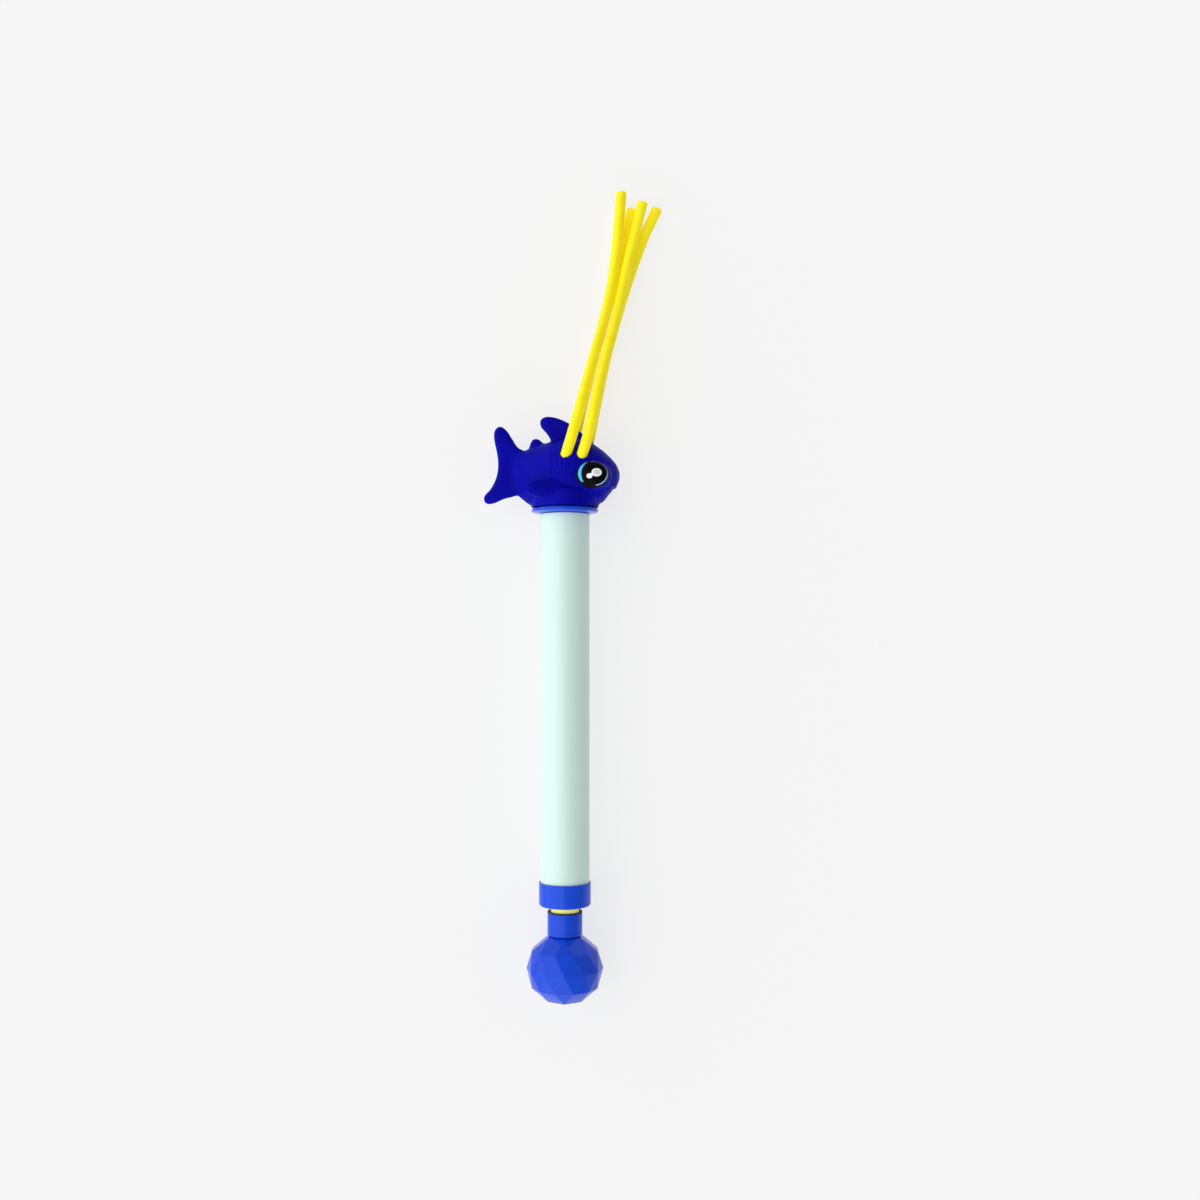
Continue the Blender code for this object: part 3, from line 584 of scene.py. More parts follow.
def turned(name, profile, edge, material, body, node, steps=128):
    """Turn a closed profile about the pump's axis into a piece. It replaces a node if one is given."""
    outline = soften(profile, edge)
    shape = bmesh.new()
    rings = []
    for i in range(steps):
        angle = 2.0 * math.pi * i / steps
        rings.append([shape.verts.new((p.x * math.cos(angle), p.y, p.x * math.sin(angle))) for p in outline])
    bridge(shape, rings + rings[:1])
    mesh = meshed(shape, name)
    smooth_shading(mesh, 40.0)
    mesh.materials.append(material)
    piece = linked(name, mesh)
    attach(piece, body)
    if node:
        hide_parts(node)
    print(name, len(mesh.polygons), "faces")


# %% [markdown]
# The barrel is a plain tube with its two cut edges eased.

# %% Barrel
BARREL_WALL = 1.5 * MM
barrel_radius = barrel_high.z
bore_radius = barrel_radius - BARREL_WALL
turned("barrel", [
    (barrel_radius, barrel_high.y), (barrel_radius, barrel_low.y), (bore_radius, barrel_low.y),
    (bore_radius, barrel_high.y)], SAWN_EDGE, mint_material, "pump_body", "barrel_tube")

# %% [markdown]
# The rear cap is a shallow cup over the barrel's end. Its outer edge has a larger round than the rest.

# %% Rear cap
CAP_END_WALL = 2.4 * MM
CAP_ROUND = 1.7 * MM
CAP_ARC_STEPS = 6
cap_radius = cap_high.z
rod_radius = rod_high.z


def cap_profile():
    edge = []
    for i in range(CAP_ARC_STEPS + 1):
        angle = 0.5 * math.pi * i / CAP_ARC_STEPS
        edge.append((cap_radius - CAP_ROUND * (1.0 - math.cos(angle)),
                     cap_low.y + CAP_ROUND * (1.0 - math.sin(angle))))
    floor = cap_low.y + CAP_END_WALL
    return [(cap_radius, cap_high.y)] + edge + [
        (rod_radius + FIT, cap_low.y), (rod_radius + FIT, floor), (barrel_radius + FIT, floor),
        (barrel_radius + FIT, cap_high.y)]


turned("cap", cap_profile(), MOULDED_EDGE, blue_material, "pump_body", "rear_cap")

# %% [markdown]
# The rod is a yellow tube. Only a sliver of it shows between the cap and the neck until it is pulled.

# %% Piston rod
ROD_WALL = 2.0 * MM
turned("rod", [
    (rod_radius, rod_high.y), (rod_radius, rod_low.y), (rod_radius - ROD_WALL, rod_low.y),
    (rod_radius - ROD_WALL, rod_high.y)], SAWN_EDGE, rod_material, "plunger", "piston_rod")

# %% [markdown]
# The neck is a socket for the rod. A narrow undercut where it meets the ball makes the dark line there,
# and a thin black ring in its mouth is painted shade, standing for the dark gap round the rod.

# %% Handle neck
neck_radius = neck_high.z
UNDERCUT = 0.9 * MM
MOUTH_GAP = 0.4 * MM
# Size of the black ring of painted shade in the neck's mouth.
SHADE_RING_LENGTH = 0.8 * MM
SHADE_RING_INSET = 0.1 * MM
SCREW_HOLE = 2.2 * MM
STEM_RADIUS = 7.0 * MM
NECK_FLOOR = 2.2 * MM
neck_rear = ball_front + FIT
shade_ring_rear = neck_high.y - SHADE_RING_LENGTH
shade_ring_radius = neck_radius - SHADE_RING_INSET
turned("neck", [
    (neck_radius, shade_ring_rear), (neck_radius, neck_rear + UNDERCUT), (neck_radius - UNDERCUT, neck_rear),
    (STEM_RADIUS, neck_rear), (STEM_RADIUS, neck_low.y), (SCREW_HOLE, neck_low.y),
    (SCREW_HOLE, neck_rear + NECK_FLOOR), (rod_radius + FIT, neck_rear + NECK_FLOOR),
    (rod_radius + FIT, shade_ring_rear)], MOULDED_EDGE, blue_material, "plunger", "handle_neck")
# A black rubber ring in the neck's mouth: painted shade for the gap between the rod and the neck.
turned("neck_mouth_shade_ring", [
    (shade_ring_radius, neck_high.y), (shade_ring_radius, shade_ring_rear),
    (rod_radius + MOUTH_GAP, shade_ring_rear), (rod_radius + MOUTH_GAP, neck_high.y)],
    SAWN_EDGE, rubber_material, "plunger", None)

# %% [markdown]
# The base shows as a bright ring under the head, sloped behind. Its spigot and boss are hidden.

# %% Head base
base_radius = base_high.z
SPIGOT_RADIUS = 14.2 * MM
SPIGOT_BORE = 10.4 * MM
STEP_RADIUS = 19.3 * MM
STEP_HEIGHT = 0.7 * MM
BOSS_RADIUS = 17.5 * MM
PLENUM_RADIUS = 12.4 * MM
OUTLET_RADIUS = 4.0 * MM
GROOVE_WIDTH = 3.2 * MM
GROOVE_FLOOR = 12.2 * MM
seal_low, seal_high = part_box("base_seal_ring")
groove_front = 0.5 * (seal_low.y + seal_high.y) + GROOVE_WIDTH / 2
groove_rear = groove_front - GROOVE_WIDTH
turned("base", [
    (BOSS_RADIUS, base_high.y), (BOSS_RADIUS, flange_front + STEP_HEIGHT),
    (STEP_RADIUS, flange_front + STEP_HEIGHT), (STEP_RADIUS, flange_front), (base_radius, flange_front),
    (base_radius, flange_front - FLANGE_RIM), (barrel_radius, flange_rear), (SPIGOT_RADIUS, flange_rear),
    (SPIGOT_RADIUS, groove_front), (GROOVE_FLOOR, groove_front), (GROOVE_FLOOR, groove_rear),
    (SPIGOT_RADIUS, groove_rear), (SPIGOT_RADIUS, base_low.y), (SPIGOT_BORE, base_low.y),
    (SPIGOT_BORE, flange_rear + FIT), (OUTLET_RADIUS, flange_rear + FIT), (OUTLET_RADIUS, flange_front + FIT),
    (PLENUM_RADIUS, flange_front + FIT), (PLENUM_RADIUS, base_high.y)],
    BASE_EDGE, blue_material, "pump_body", "head_base")

# %% [markdown]
# The ball's facets follow a rule: five rings of corners, each turned by half a step from the last, and a
# skin stretched over them. Geometry Nodes place the rings and wrap them in a convex hull. The frame's
# ball is two halves, and this one piece stands for both, with the seam on a facet edge.

# %% Geometry Nodes for the faceted ball
MID_LATITUDE = math.radians(28.7)
END_HEIGHT = 0.828
END_REACH = 0.492
BALL_SIDES = 12
FACET_EDGE = 0.22 * MM


def ball_tree():
    tree, given, result = group_tree("faceted ball", {
        "Radius": ("NodeSocketFloat", ball_radius),
        "Sides": ("NodeSocketInt", BALL_SIDES),
        "Place": ("NodeSocketFloat", 0.0),
        "Material": ("NodeSocketMaterial", None),
    })
    size = given.outputs
    gather = tree_node(tree, "GeometryNodeJoinGeometry")
    half_step = math.pi / BALL_SIDES
    mid_height, mid_reach = math.sin(MID_LATITUDE), math.cos(MID_LATITUDE)
    rings = [(-END_HEIGHT, END_REACH, 0.0, 2), (-mid_height, mid_reach, half_step, 1),
             (0.0, 1.0, 0.0, 1), (mid_height, mid_reach, half_step, 1), (END_HEIGHT, END_REACH, 0.0, 2)]
    for rise_share, reach_share, phase, split in rings:
        reach = tree_node(tree, "ShaderNodeMath", {"operation": "MULTIPLY"})
        rise = tree_node(tree, "ShaderNodeMath", {"operation": "MULTIPLY_ADD"})
        count = tree_node(tree, "ShaderNodeMath", {"operation": "DIVIDE"})
        for node, factor in ((reach, reach_share), (rise, rise_share)):
            tree.links.new(size["Radius"], node.inputs[0])
            node.inputs[1].default_value = factor
        tree.links.new(size["Place"], rise.inputs[2])
        tree.links.new(size["Sides"], count.inputs[0])
        count.inputs[1].default_value = split
        circle = tree_node(tree, "GeometryNodeMeshCircle", None, {
            "Vertices": count.outputs[0], "Radius": reach.outputs[0]})
        spot = tree_node(tree, "ShaderNodeCombineXYZ", None, {"Y": rise.outputs[0]})
        turn = tree_node(tree, "GeometryNodeTransform", None, {
            "Geometry": circle.outputs[0], "Translation": spot.outputs[0],
            "Rotation": (math.pi / 2.0, math.pi / 2.0 + phase, 0.0)})
        tree.links.new(turn.outputs[0], gather.inputs[0])
    skin = tree_node(tree, "GeometryNodeConvexHull", None, {"Geometry": gather.outputs[0]})
    finish_tree(tree, skin.outputs[0], size["Material"], result)
    return tree


def handle_ball():
    place = 0.5 * ball_front
    piece = baked("ball", linked("ball_seed", bpy.data.meshes.new("ball_seed")), ball_tree(), {
        "Radius": ball_radius, "Sides": BALL_SIDES, "Place": place, "Material": blue_material})
    shape = bmesh.new()
    shape.from_mesh(piece.data)
    bmesh.ops.dissolve_limit(shape, angle_limit=math.radians(1.0), verts=shape.verts, edges=shape.edges)
    bmesh.ops.bevel(shape, geom=list(shape.edges), offset=FACET_EDGE, segments=2, profile=0.6,
                    affect="EDGES", material=-1)
    bmesh.ops.recalc_face_normals(shape, faces=shape.faces)
    shape.to_mesh(piece.data)
    shape.free()
    smooth_shading(piece.data, 12.0)
    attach(piece, "plunger")
    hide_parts("ball_front_half", "ball_rear_half")
    print("ball", len(piece.data.polygons), "faces")


handle_ball()

# %% [markdown]
# The shark head is soft vinyl. It is modelled the way a sculptor would block it out: a lofted body, flat
# fins with round edges and lumps for the eyes are pushed together, remeshed into one skin, and smoothed
# until the joints become soft fillets. Finer marks are then pressed into the skin.

# %% Shark body blocks
BODY_STATIONS = [
    (-34.0, 12.5, 36.0, 2.6), (-31.0, 9.2, 36.8, 4.4), (-28.0, 6.6, 37.6, 7.0), (-24.0, 3.4, 38.8, 10.6),
    (-18.0, 0.9, 41.0, 15.4), (-10.0, 0.7, 43.4, 20.0), (0.0, 0.8, 45.8, 22.2), (10.0, 0.9, 45.4, 22.4),
    (18.0, 1.2, 42.6, 21.6), (25.0, 5.0, 37.6, 19.0), (30.0, 10.0, 33.0, 15.2), (33.6, 14.6, 28.8, 9.6),
    (35.6, 19.4, 24.2, 3.0),
]
COLLAR_STATIONS = [(1.1, 21.7), (4.0, 22.2), (8.0, 23.2), (12.0, 23.4)]
SECTION_SIDES = 32
SECTION_POWER = 2.25


def head_point(x, y, z):
    """A place in the head, in millimetres from the axis and the flange's front face."""
    return Vector((x * MM, flange_front + y * MM, z * MM))


def body_section(station):
    x, belly, back, half_width = station
    middle = 0.5 * (belly + back)
    tall = 0.5 * (back - belly)
    ring = []
    for i in range(SECTION_SIDES):
        angle = 2.0 * math.pi * i / SECTION_SIDES
        c, s = math.cos(angle), math.sin(angle)
        bend = (abs(c) ** SECTION_POWER + abs(s) ** SECTION_POWER) ** (-1.0 / SECTION_POWER)
        ring.append(head_point(x, middle + tall * bend * s, half_width * bend * c))
    return ring


def add_body(shape):
    """The lofted body, from the tail's root to the nose."""
    rings = [[shape.verts.new(p) for p in body_section(station)] for station in BODY_STATIONS]
    bridge(shape, rings)
    shape.faces.new(rings[0][::-1])
    shape.faces.new(rings[-1])


def add_lump(shape, centre, size, side=1.0, lean=0.0, power=2.0):
    """An ellipsoid with its centre and half sizes in millimetres.

    A lean lifts its tail end away from the body, and a power above 2 makes its outline blunter.
    """
    made = bmesh.ops.create_uvsphere(shape, u_segments=64, v_segments=32, radius=1.0)
    middle = head_point(centre[0], centre[1], centre[2] * side)
    turn = Matrix.Rotation(side * lean, 3, "Y")
    for vert in made["verts"]:
        x, y, z = vert.co
        reach = (abs(x) ** power + abs(y) ** power) ** (1.0 / power)
        blunt = math.hypot(x, y) / reach if reach > 0.0 else 1.0
        vert.co = middle + turn @ Vector((x * blunt * size[0], y * blunt * size[1], z * size[2])) * MM


def add_collar(shape):
    """The round neck of the head, widening from the flange into the body."""
    steps = 64
    rings = []
    for height, radius in COLLAR_STATIONS:
        rings.append([shape.verts.new(head_point(
            radius * math.cos(2.0 * math.pi * i / steps), height,
            radius * math.sin(2.0 * math.pi * i / steps))) for i in range(steps)])
    bridge(shape, rings)
    shape.faces.new(rings[0])
    shape.faces.new(rings[-1][::-1])


print("body has", len(BODY_STATIONS), "stations")

# %% [markdown]
# A fin is a flat outline with a rounded rim. A 2D curve does this: its bevel rounds the rim, and a
# negative offset keeps the outline where it was drawn.

# %% Fins
TAIL_OUTLINE = [
    (-26.6, 37.6), (-30.4, 40.2), (-34.3, 46.0), (-38.2, 51.6), (-42.3, 53.9), (-45.6, 51.4),
    (-46.0, 45.0), (-44.4, 37.0), (-43.5, 29.0), (-44.8, 20.6), (-48.4, 13.2), (-52.9, 7.2),
    (-51.2, 3.6), (-46.6, 3.6), (-39.4, 6.6), (-32.0, 8.6), (-26.0, 12.0), (-24.0, 24.0)]
DORSAL_OUTLINE = [
    (-8.6, 38.0), (-9.0, 44.0), (-11.8, 49.0), (-15.6, 53.6), (-16.1, 57.4), (-13.4, 59.8),
    (-8.0, 59.9), (-1.0, 57.7), (6.0, 53.6), (12.0, 48.6), (18.4, 42.4), (10.0, 34.0)]
FINLET_OUTLINE = [
    (-22.8, 36.0), (-22.7, 42.2), (-20.8, 45.4), (-17.4, 45.7), (-14.2, 43.2), (-10.0, 41.0), (-12.0, 35.0)]
TAIL_THICKNESS = 5.2 * MM
DORSAL_THICKNESS = 6.4 * MM
FIN_ROUND = 2.2 * MM


def add_fin(shape, name, outline, thickness):
    """Add a fin in the shark's middle plane, from a smooth closed outline."""
    curve = bpy.data.curves.new(name, "CURVE")
    curve.dimensions = "2D"
    curve.fill_mode = "BOTH"
    curve.bevel_depth = FIN_ROUND
    curve.bevel_resolution = 4
    curve.offset = -FIN_ROUND
    curve.extrude = thickness / 2.0 - FIN_ROUND
    curve.resolution_u = 8
    spline = curve.splines.new("BEZIER")
    spline.bezier_points.add(len(outline) - 1)
    spline.use_cyclic_u = True
    for target, (x, y) in zip(spline.bezier_points, outline):
        target.co = head_point(x, y, 0.0)
        target.handle_left_type = "AUTO"
        target.handle_right_type = "AUTO"
    mesh = evaluated(linked(name, curve), name)
    shape.from_mesh(mesh)
    bpy.data.meshes.remove(mesh)


print("fins drawn with", len(TAIL_OUTLINE) + len(DORSAL_OUTLINE) + len(FINLET_OUTLINE), "points")

# %% [markdown]
# The blocks are joined and remeshed with voxels half a millimetre across. Smoothing then moves every
# corner towards the middle of its neighbours, again and again.

# %% One smooth skin
VOXEL = 0.5 * MM
SMOOTH_ROUNDS = 22
FLANGE_HOLD = 2.2 * MM
EYE_CENTRE = (17.9, 20.0, 15.2)
EYE_BULGE = (12.3, 10.6, 9.5)
PECTORAL_CENTRE = (-12.0, 11.4, 21.4)
PECTORAL_SIZE = (12.8, 6.0, 3.0)
PECTORAL_LEAN = math.radians(10.0)
PECTORAL_POWER = 2.7


def blocked_out():
    """All the head's blocks in one mesh object."""
    shape = bmesh.new()
    add_body(shape)
    add_collar(shape)
    for side in (1.0, -1.0):
        add_lump(shape, EYE_CENTRE, EYE_BULGE, side)
        add_lump(shape, PECTORAL_CENTRE, PECTORAL_SIZE, side, PECTORAL_LEAN, PECTORAL_POWER)
    add_fin(shape, "tail", TAIL_OUTLINE, TAIL_THICKNESS)
    add_fin(shape, "dorsal", DORSAL_OUTLINE, DORSAL_THICKNESS)
    add_fin(shape, "finlet", FINLET_OUTLINE, TAIL_THICKNESS)
    bmesh.ops.remove_doubles(shape, verts=shape.verts, dist=0.01 * MM)
    return linked("head_blocks", meshed(shape, "head_blocks"))


def remeshed():
    holder = blocked_out()
    step = holder.modifiers.new("voxels", "REMESH")
    step.mode = "VOXEL"
    step.voxel_size = VOXEL
    return evaluated(holder, "head_skin")


def corner_array(mesh):
    places = np.empty(len(mesh.vertices) * 3)
    mesh.vertices.foreach_get("co", places)
    return places.reshape(-1, 3)


def smoothed(places, edges, rounds, keep_low):
    """Move corners towards their neighbours' middle. Corners at the flange keep their height."""
    degree = np.zeros(len(places))
    np.add.at(degree, edges.ravel(), 1.0)
    for _ in range(rounds):
        total = np.zeros_like(places)
        np.add.at(total, edges[:, 0], places[edges[:, 1]])
        np.add.at(total, edges[:, 1], places[edges[:, 0]])
        moved = 0.5 * places + 0.5 * total / degree[:, None]
        moved[keep_low] = places[keep_low]
        places = moved
    return places


skin = remeshed()
skin_places = corner_array(skin)
skin_edges = np.empty(len(skin.edges) * 2, dtype=int)
skin.edges.foreach_get("vertices", skin_edges)
skin_edges = skin_edges.reshape(-1, 2)
at_flange = skin_places[:, 1] < flange_front + FLANGE_HOLD
skin_places = smoothed(skin_places, skin_edges, SMOOTH_ROUNDS, at_flange)
print("skin has", len(skin_places), "corners")

# %% [markdown]
# Details are pressed into the skin by moving corners along their normals: three gill slits a side,
# the mouth's crease with the jaw set back under the snout, and a shallow ring round each eye.

# %% Pressed details


def bell(distance, width):
    """A smooth bump of height 1 and of about the given half width."""
    return np.exp(-(distance / width) ** 2)


def step_up(value, low, high):
    """A smooth step from 0 to 1."""
    t = np.clip((value - low) / (high - low), 0.0, 1.0)
    return t * t * (3.0 - 2.0 * t)


GILL_PLACES = (-7.2, -3.9, -0.6)
GILL_LOW, GILL_HIGH = 21.0, 36.0
GILL_DEPTH = 0.22
GILL_WIDTH = 0.75
GILL_FADE = 3.0
MOUTH_HEIGHT = 13.0
MOUTH_RISE = 0.14
NOSE_PLACE = 32.0
MOUTH_START = (11.0, 18.0)
MOUTH_DEPTH = 0.8
MOUTH_WIDTH = 0.55
JAW_SETBACK = 0.7
JAW_FADE = (5.5, 10.0)
LIP_RISE = 0.22
LIP_PLACE = 1.2
LIP_WIDTH = 0.6
EYE_RING_DEPTH = 0.25
EYE_RING_SIZE = (10.9, 9.4)

skin.vertices.foreach_set("co", skin_places.ravel())
skin.update()
skin_normals = np.empty(len(skin.vertices) * 3)
skin.vertices.foreach_get("normal", skin_normals)
skin_normals = skin_normals.reshape(-1, 3)
across = skin_places[:, 0] / MM
height = (skin_places[:, 1] - flange_front) / MM
aside = np.abs(skin_places[:, 2]) / MM
push = np.zeros(len(skin_places))
on_flank = step_up(aside, 8.0, 14.0)
for gill in GILL_PLACES:
    slit = bell(across - gill, GILL_WIDTH) * step_up(height, GILL_LOW, GILL_LOW + GILL_FADE)
    push -= GILL_DEPTH * slit * (1.0 - step_up(height, GILL_HIGH - GILL_FADE, GILL_HIGH)) * on_flank
from_eye = np.hypot((across - EYE_CENTRE[0]) / EYE_RING_SIZE[0], (height - EYE_CENTRE[1]) / EYE_RING_SIZE[1])
in_mouth = step_up(across, *MOUTH_START) * step_up(from_eye, 0.95, 1.05)
over_mouth = height - MOUTH_HEIGHT + MOUTH_RISE * (NOSE_PLACE - across)
push -= MOUTH_DEPTH * bell(over_mouth, MOUTH_WIDTH) * in_mouth
push += LIP_RISE * bell(over_mouth - LIP_PLACE, LIP_WIDTH) * in_mouth
below = (1.0 - step_up(over_mouth, -0.7, 0.3)) * step_up(height, *JAW_FADE)
push -= JAW_SETBACK * below * in_mouth
push -= EYE_RING_DEPTH * bell((from_eye - 1.0) * 10.0, 0.9) * step_up(aside, 12.0, 16.0)
skin_places += skin_normals * push[:, None] * MM
skin.vertices.foreach_set("co", skin_places.ravel())
skin.update()
print("deepest mark %.2f mm" % -push.min())

# %% [markdown]
# The skin is opened from below for the base's boss and the manifold on it, and four holes let the
# hoses out. Each hole is a cylinder along its hose, cut away with a Boolean.

# %% Openings in the head
HOSE_HOLE = HOSE_RADIUS + 0.6 * MM
OPENING_TOP = 18.5 * MM


def rod_cutter(name, start, end, radius, steps=48):
    axis = end - start
    shape = bmesh.new()
    turn = axis.to_track_quat("Z", "Y").to_matrix().to_4x4()
    turn.translation = (start + end) / 2.0
    bmesh.ops.create_cone(shape, cap_ends=True, segments=steps, radius1=radius, radius2=radius,
                          depth=axis.length, matrix=turn)
    return linked(name, meshed(shape, name))


def head_cutters():
    """The boss's opening and the four hose holes."""
    boss = rod_cutter("boss_opening", Vector((0.0, flange_rear, 0.0)),
                      Vector((0.0, flange_front + OPENING_TOP, 0.0)), BOSS_RADIUS + FIT, 96)
    cutters = [boss]
    for name, (points, length) in hose_lines.items():
        way = (points[ROUTE_PARTS] - points[0]).normalized() * HOSE_HOLE_REACH
        cutters.append(rod_cutter(name + "_hole", points[0], points[0] + way, HOSE_HOLE))
    return cutters


def opened(mesh):
    holder = linked("head_closed", mesh)
    cutters = head_cutters()
    for cutter in cutters:
        cut = holder.modifiers.new(cutter.name, "BOOLEAN")
        cut.operation = "DIFFERENCE"
        cut.object = cutter
    result = evaluated(holder, "shark_skin")
    for cutter in cutters:
        bpy.data.objects.remove(cutter, do_unlink=True)
    return result


head_mesh = opened(skin)
print("head has", len(head_mesh.polygons), "faces")

# %% [markdown]
# The vinyl is a deep ultramarine with a satin skin. Its colour hardly varies, but it has fine pores,
# soft swells and a slight sheen where light grazes it.

# %% Vinyl finish


def vinyl_finish():
    finish = Finish("shark vinyl", IOR=1.5, Specular_IOR_Level=0.05)
    cloud = finish.noise(55.0, 4.0)
    finish.colour(finish.blend(finish.ramp(cloud, 0.3, 0.7), (0.0006, 0.0006, 0.30), (0.0014, 0.0014, 0.38)))
    smear = finish.noise(130.0, 4.0)
    finish.roughness(0.42 + 0.14 * finish.ramp(smear, 0.35, 0.7))
    pores = finish.noise(3200.0, 2.0)
    swell = finish.noise(260.0, 2.0)
    finish.bump(0.35 * pores + 0.65 * swell, 0.09 * MM, 0.35)
    return finish.material


vinyl_material = vinyl_finish()
head_mesh.materials.clear()
head_mesh.materials.append(vinyl_material)
smooth_shading(head_mesh, 50.0)
head = linked("shark_skin", head_mesh)
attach(head, "pump_body")
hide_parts("shark_head")
print("made", vinyl_material.name)

# %% [markdown]
# The eye is printed on the bulge and lacquered. Its pattern is made of ellipses in the eye's own plane:
# a black field, a pale blue crescent behind, a thin arc in front, and two touching highlights.

# Each ellipse is given by its centre and half sizes, in millimetres from the eye's centre.

# %% Eye print
CRESCENT, CRESCENT_CUT = (-0.05, 0.55, 8.95, 7.8), (0.95, 0.3, 7.95, 8.7)
ARC, ARC_CUT = (1.28, 0.80, 8.62, 7.9), (1.2, 0.85, 8.1, 7.45)
LARGE_HIGHLIGHT, SMALL_HIGHLIGHT = (2.76, 1.1, 3.25, 2.65), (-1.74, -1.15, 1.85, 1.55)
HIGHLIGHT_JOINT, HIGHLIGHT_CORE = (-0.1, -0.3, 1.2, 0.8), (2.85, 1.1, 2.1, 1.65)
PRINT_EDGE = 0.035


def eye_finish():
    finish = Finish("eye print", IOR=1.5, Specular_IOR_Level=0.06, Roughness=0.3)
    split = finish.node("ShaderNodeSeparateXYZ", None, {"Vector": finish.place}, "X")
    x = (split - EYE_CENTRE[0] * MM) / MM
    y_socket = Signal(split.socket.node.outputs["Y"])
    y = (y_socket - (flange_front + EYE_CENTRE[1] * MM)) / MM

    def inside(ellipse, softness=PRINT_EDGE):
        """1 inside an ellipse and 0 outside it."""
        cx, cy, rx, ry = ellipse
        reach = (((x - cx) / rx) ** 2.0 + ((y - cy) / ry) ** 2.0) ** 0.5
        return 1.0 - finish.ramp(reach, 1.0 - softness, 1.0 + softness)

    crescent = inside(CRESCENT) * (1.0 - inside(CRESCENT_CUT))
    crescent = crescent * (1.0 - finish.ramp(x, -3.2, -1.8)) * finish.ramp(y, -4.9, -4.4)
    arc = inside(ARC) * (1.0 - inside(ARC_CUT))
    arc = arc * finish.ramp(x + 0.21 * y, 0.5, 1.2)
    shine = 1.0 - (1.0 - inside(LARGE_HIGHLIGHT)) * (1.0 - inside(SMALL_HIGHLIGHT))
    shine = 1.0 - (1.0 - shine) * (1.0 - inside(HIGHLIGHT_JOINT, 0.2))
    core = inside(HIGHLIGHT_CORE, 0.1)
    arc_colour = finish.blend(finish.ramp(y, -2.0, 2.5), (0.30, 0.68, 0.98), (0.14, 0.18, 0.48))
    paint = finish.blend(crescent, (0.0015, 0.0015, 0.002), (0.10, 0.52, 0.95))
    paint = finish.blend(arc, paint, arc_colour)
    paint = finish.blend(shine, paint, (0.95, 0.96, 0.97))
    paint = finish.blend(core, paint, (0.66, 0.72, 0.76))
    finish.colour(paint)
    return finish.material


eye_material = eye_finish()
print("made", eye_material.name)

# %% [markdown]
# The print is a thin domed patch that follows the bulge. A disc of corners is dropped on the skin along
# the line of sight, lifted slightly, and its rim is tucked into the skin.

# %% Eye patches
EYE_HALF_SIZE = (10.5, 8.6)
EYE_LIFT = 0.22 * MM
EYE_DOME = 0.25 * MM
EYE_TUCK = 0.5 * MM
SIGHT_START = 60.0
EYE_RINGS = 24
EYE_STEPS = 96


def eye_patch(name, side):
    tree = BVHTree.FromPolygons([v.co[:] for v in head_mesh.vertices],
                                [p.vertices[:] for p in head_mesh.polygons])
    shape = bmesh.new()
    rings = []
    for i in range(EYE_RINGS + 2):
        share = min(1.0, i / EYE_RINGS)
        tucked = i > EYE_RINGS
        ring = []
        for k in range(EYE_STEPS):
            angle = 2.0 * math.pi * k / EYE_STEPS
            spot = head_point(EYE_CENTRE[0] + EYE_HALF_SIZE[0] * share * math.cos(angle),
                              EYE_CENTRE[1] + EYE_HALF_SIZE[1] * share * math.sin(angle), side * SIGHT_START)
            hit, normal, face, distance = tree.ray_cast(spot, Vector((0.0, 0.0, -side)))
            dome = EYE_LIFT + EYE_DOME * (1.0 - share ** 4)
            lift = Vector((0.0, 0.0, side)) * (-EYE_TUCK if tucked else dome)
            ring.append(hit + lift)
            if i == 0:
                break
        rings.append([shape.verts.new(place) for place in ring])
    for k in range(EYE_STEPS):
        shape.faces.new((rings[0][0], rings[1][k], rings[1][(k + 1) % EYE_STEPS]))
    bridge(shape, rings[1:])
    back = shape.verts.new(sum((v.co for v in rings[-1]), Vector()) / EYE_STEPS)
    for k in range(EYE_STEPS):
        shape.faces.new((rings[-1][(k + 1) % EYE_STEPS], rings[-1][k], back))
    mesh = meshed(shape, name)
    smooth_shading(mesh, 60.0)
    mesh.materials.append(eye_material)
    piece = linked(name, mesh)
    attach(piece, "pump_body")
    print(name, len(mesh.polygons), "faces")


eye_patch("eye_near", 1.0)
eye_patch("eye_far", -1.0)

# %% [markdown]
# The pieces inside the pump keep the frame's shapes. They get the finishes of what they are made of:
# black seal rubber, zinc-plated screws and natural white plastic.

# %% Finishes for the hidden pieces


def steel_finish():
    finish = Finish("screw steel", Metallic=1.0)
    tone = finish.noise(500.0, 3.0)
    finish.colour(finish.blend(tone, (0.50, 0.50, 0.53), (0.66, 0.66, 0.68)))
    finish.roughness(0.24 + 0.2 * finish.noise(1500.0, 3.0))
    finish.bump(finish.noise(2500.0, 2.0), 0.02 * MM, 0.4)
    return finish.material


finishes = {
    "seal_rubber": rubber_material, "screw_steel": steel_finish(), "white_plastic": white_material,
    "blue_plastic": blue_material, "mint_barrel": mint_material, "yellow_hose": hose_material,
    "yellow_rod": rod_material, "shark_vinyl": vinyl_material}
for subpart in frame["record"]["subparts"]:
    node = frame["nodes"][subpart["node"]]
    node.data.materials.clear()
    node.data.materials.append(finishes[subpart["material_slot"]])

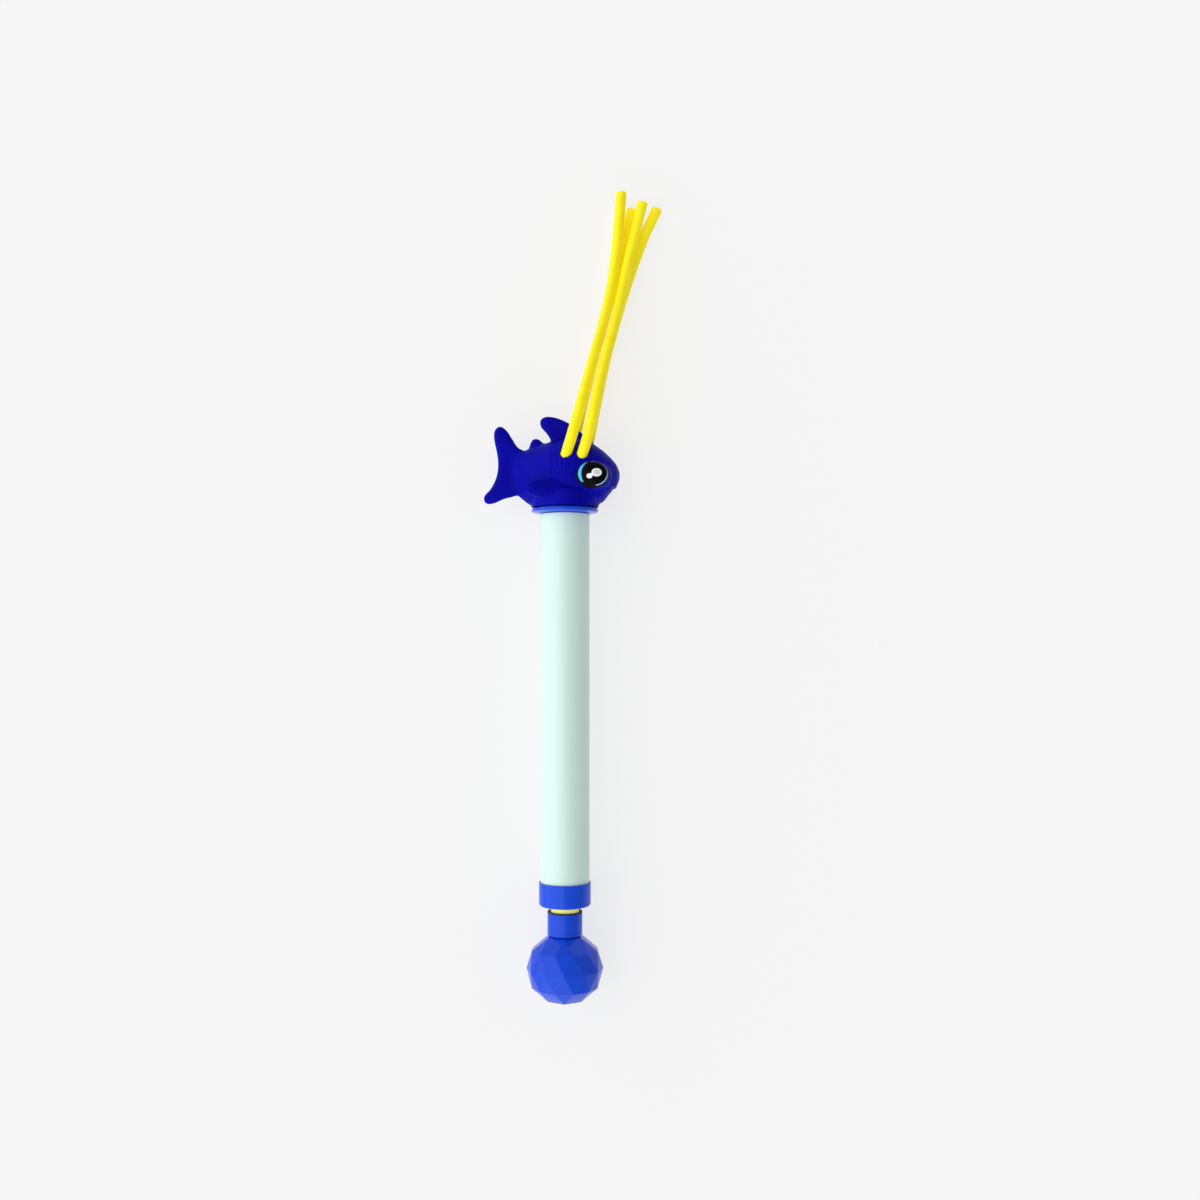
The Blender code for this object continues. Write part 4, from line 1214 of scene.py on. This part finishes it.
# %% [markdown]
# The pump lies on a plain pale table that glows a little, as backlit white acrylic does, so shadows
# stay faint. The surround is one large soft light, on the left and towards the handle, and a dim fill
# from everywhere else. Past the table's edge the camera sees a plain pale backdrop.

# %% Table and light
TABLE_SIZE = 3.0
TABLE_DROP = 0.2 * MM
TABLE_TONE = 0.21
TABLE_GLOW = 0.72
LIGHT_SIDE = (-0.92, -0.39, 0.0)
LIGHT_BORDER = (-0.06, 0.20)
BRIGHT_LIGHT = 1.58
DIM_LIGHT = 0.42
BACKDROP_TONE = 0.915


def pale_table():
    mesh = bpy.data.meshes.new("table")
    half = TABLE_SIZE / 2.0
    corners = [(-half, -half), (half, -half), (half, half), (-half, half)]
    mesh.from_pydata([(x, y + CAMERA_Y, floor_height - TABLE_DROP) for x, y in corners], [], [(0, 1, 2, 3)])
    table = linked("table", mesh)
    finish = Finish("pale table", Roughness=0.9, Specular_IOR_Level=0.0, Emission_Strength=TABLE_GLOW)
    finish.colour((TABLE_TONE, TABLE_TONE, TABLE_TONE, 1.0))
    finish.shader.inputs["Emission Color"].default_value = (1.0, 1.0, 1.0, 1.0)
    mesh.materials.append(finish.material)


def surround():
    """Light from every side, far brighter from one half of the sky, behind a plain pale backdrop."""
    world = bpy.data.worlds.new("surround")
    world.use_nodes = True
    bpy.context.scene.world = world
    nodes = Nodes(world.node_tree)
    direction = nodes.node("ShaderNodeTexCoord", output="Generated")
    towards = nodes.node("ShaderNodeVectorMath", {"operation": "DOT_PRODUCT"}, None, "Value")
    sockets = towards.socket.node.inputs
    plug(sockets[0], direction)
    sockets[1].default_value = LIGHT_SIDE
    share = nodes.ramp(towards, *LIGHT_BORDER)
    light = nodes.blend(share, (DIM_LIGHT,) * 3, (BRIGHT_LIGHT,) * 3)
    seen = nodes.node("ShaderNodeLightPath", output="Is Camera Ray")
    background = world.node_tree.nodes["Background"]
    plug(background.inputs["Color"], nodes.blend(seen, light, (BACKDROP_TONE,) * 3))


pale_table()
surround()
print("lit")
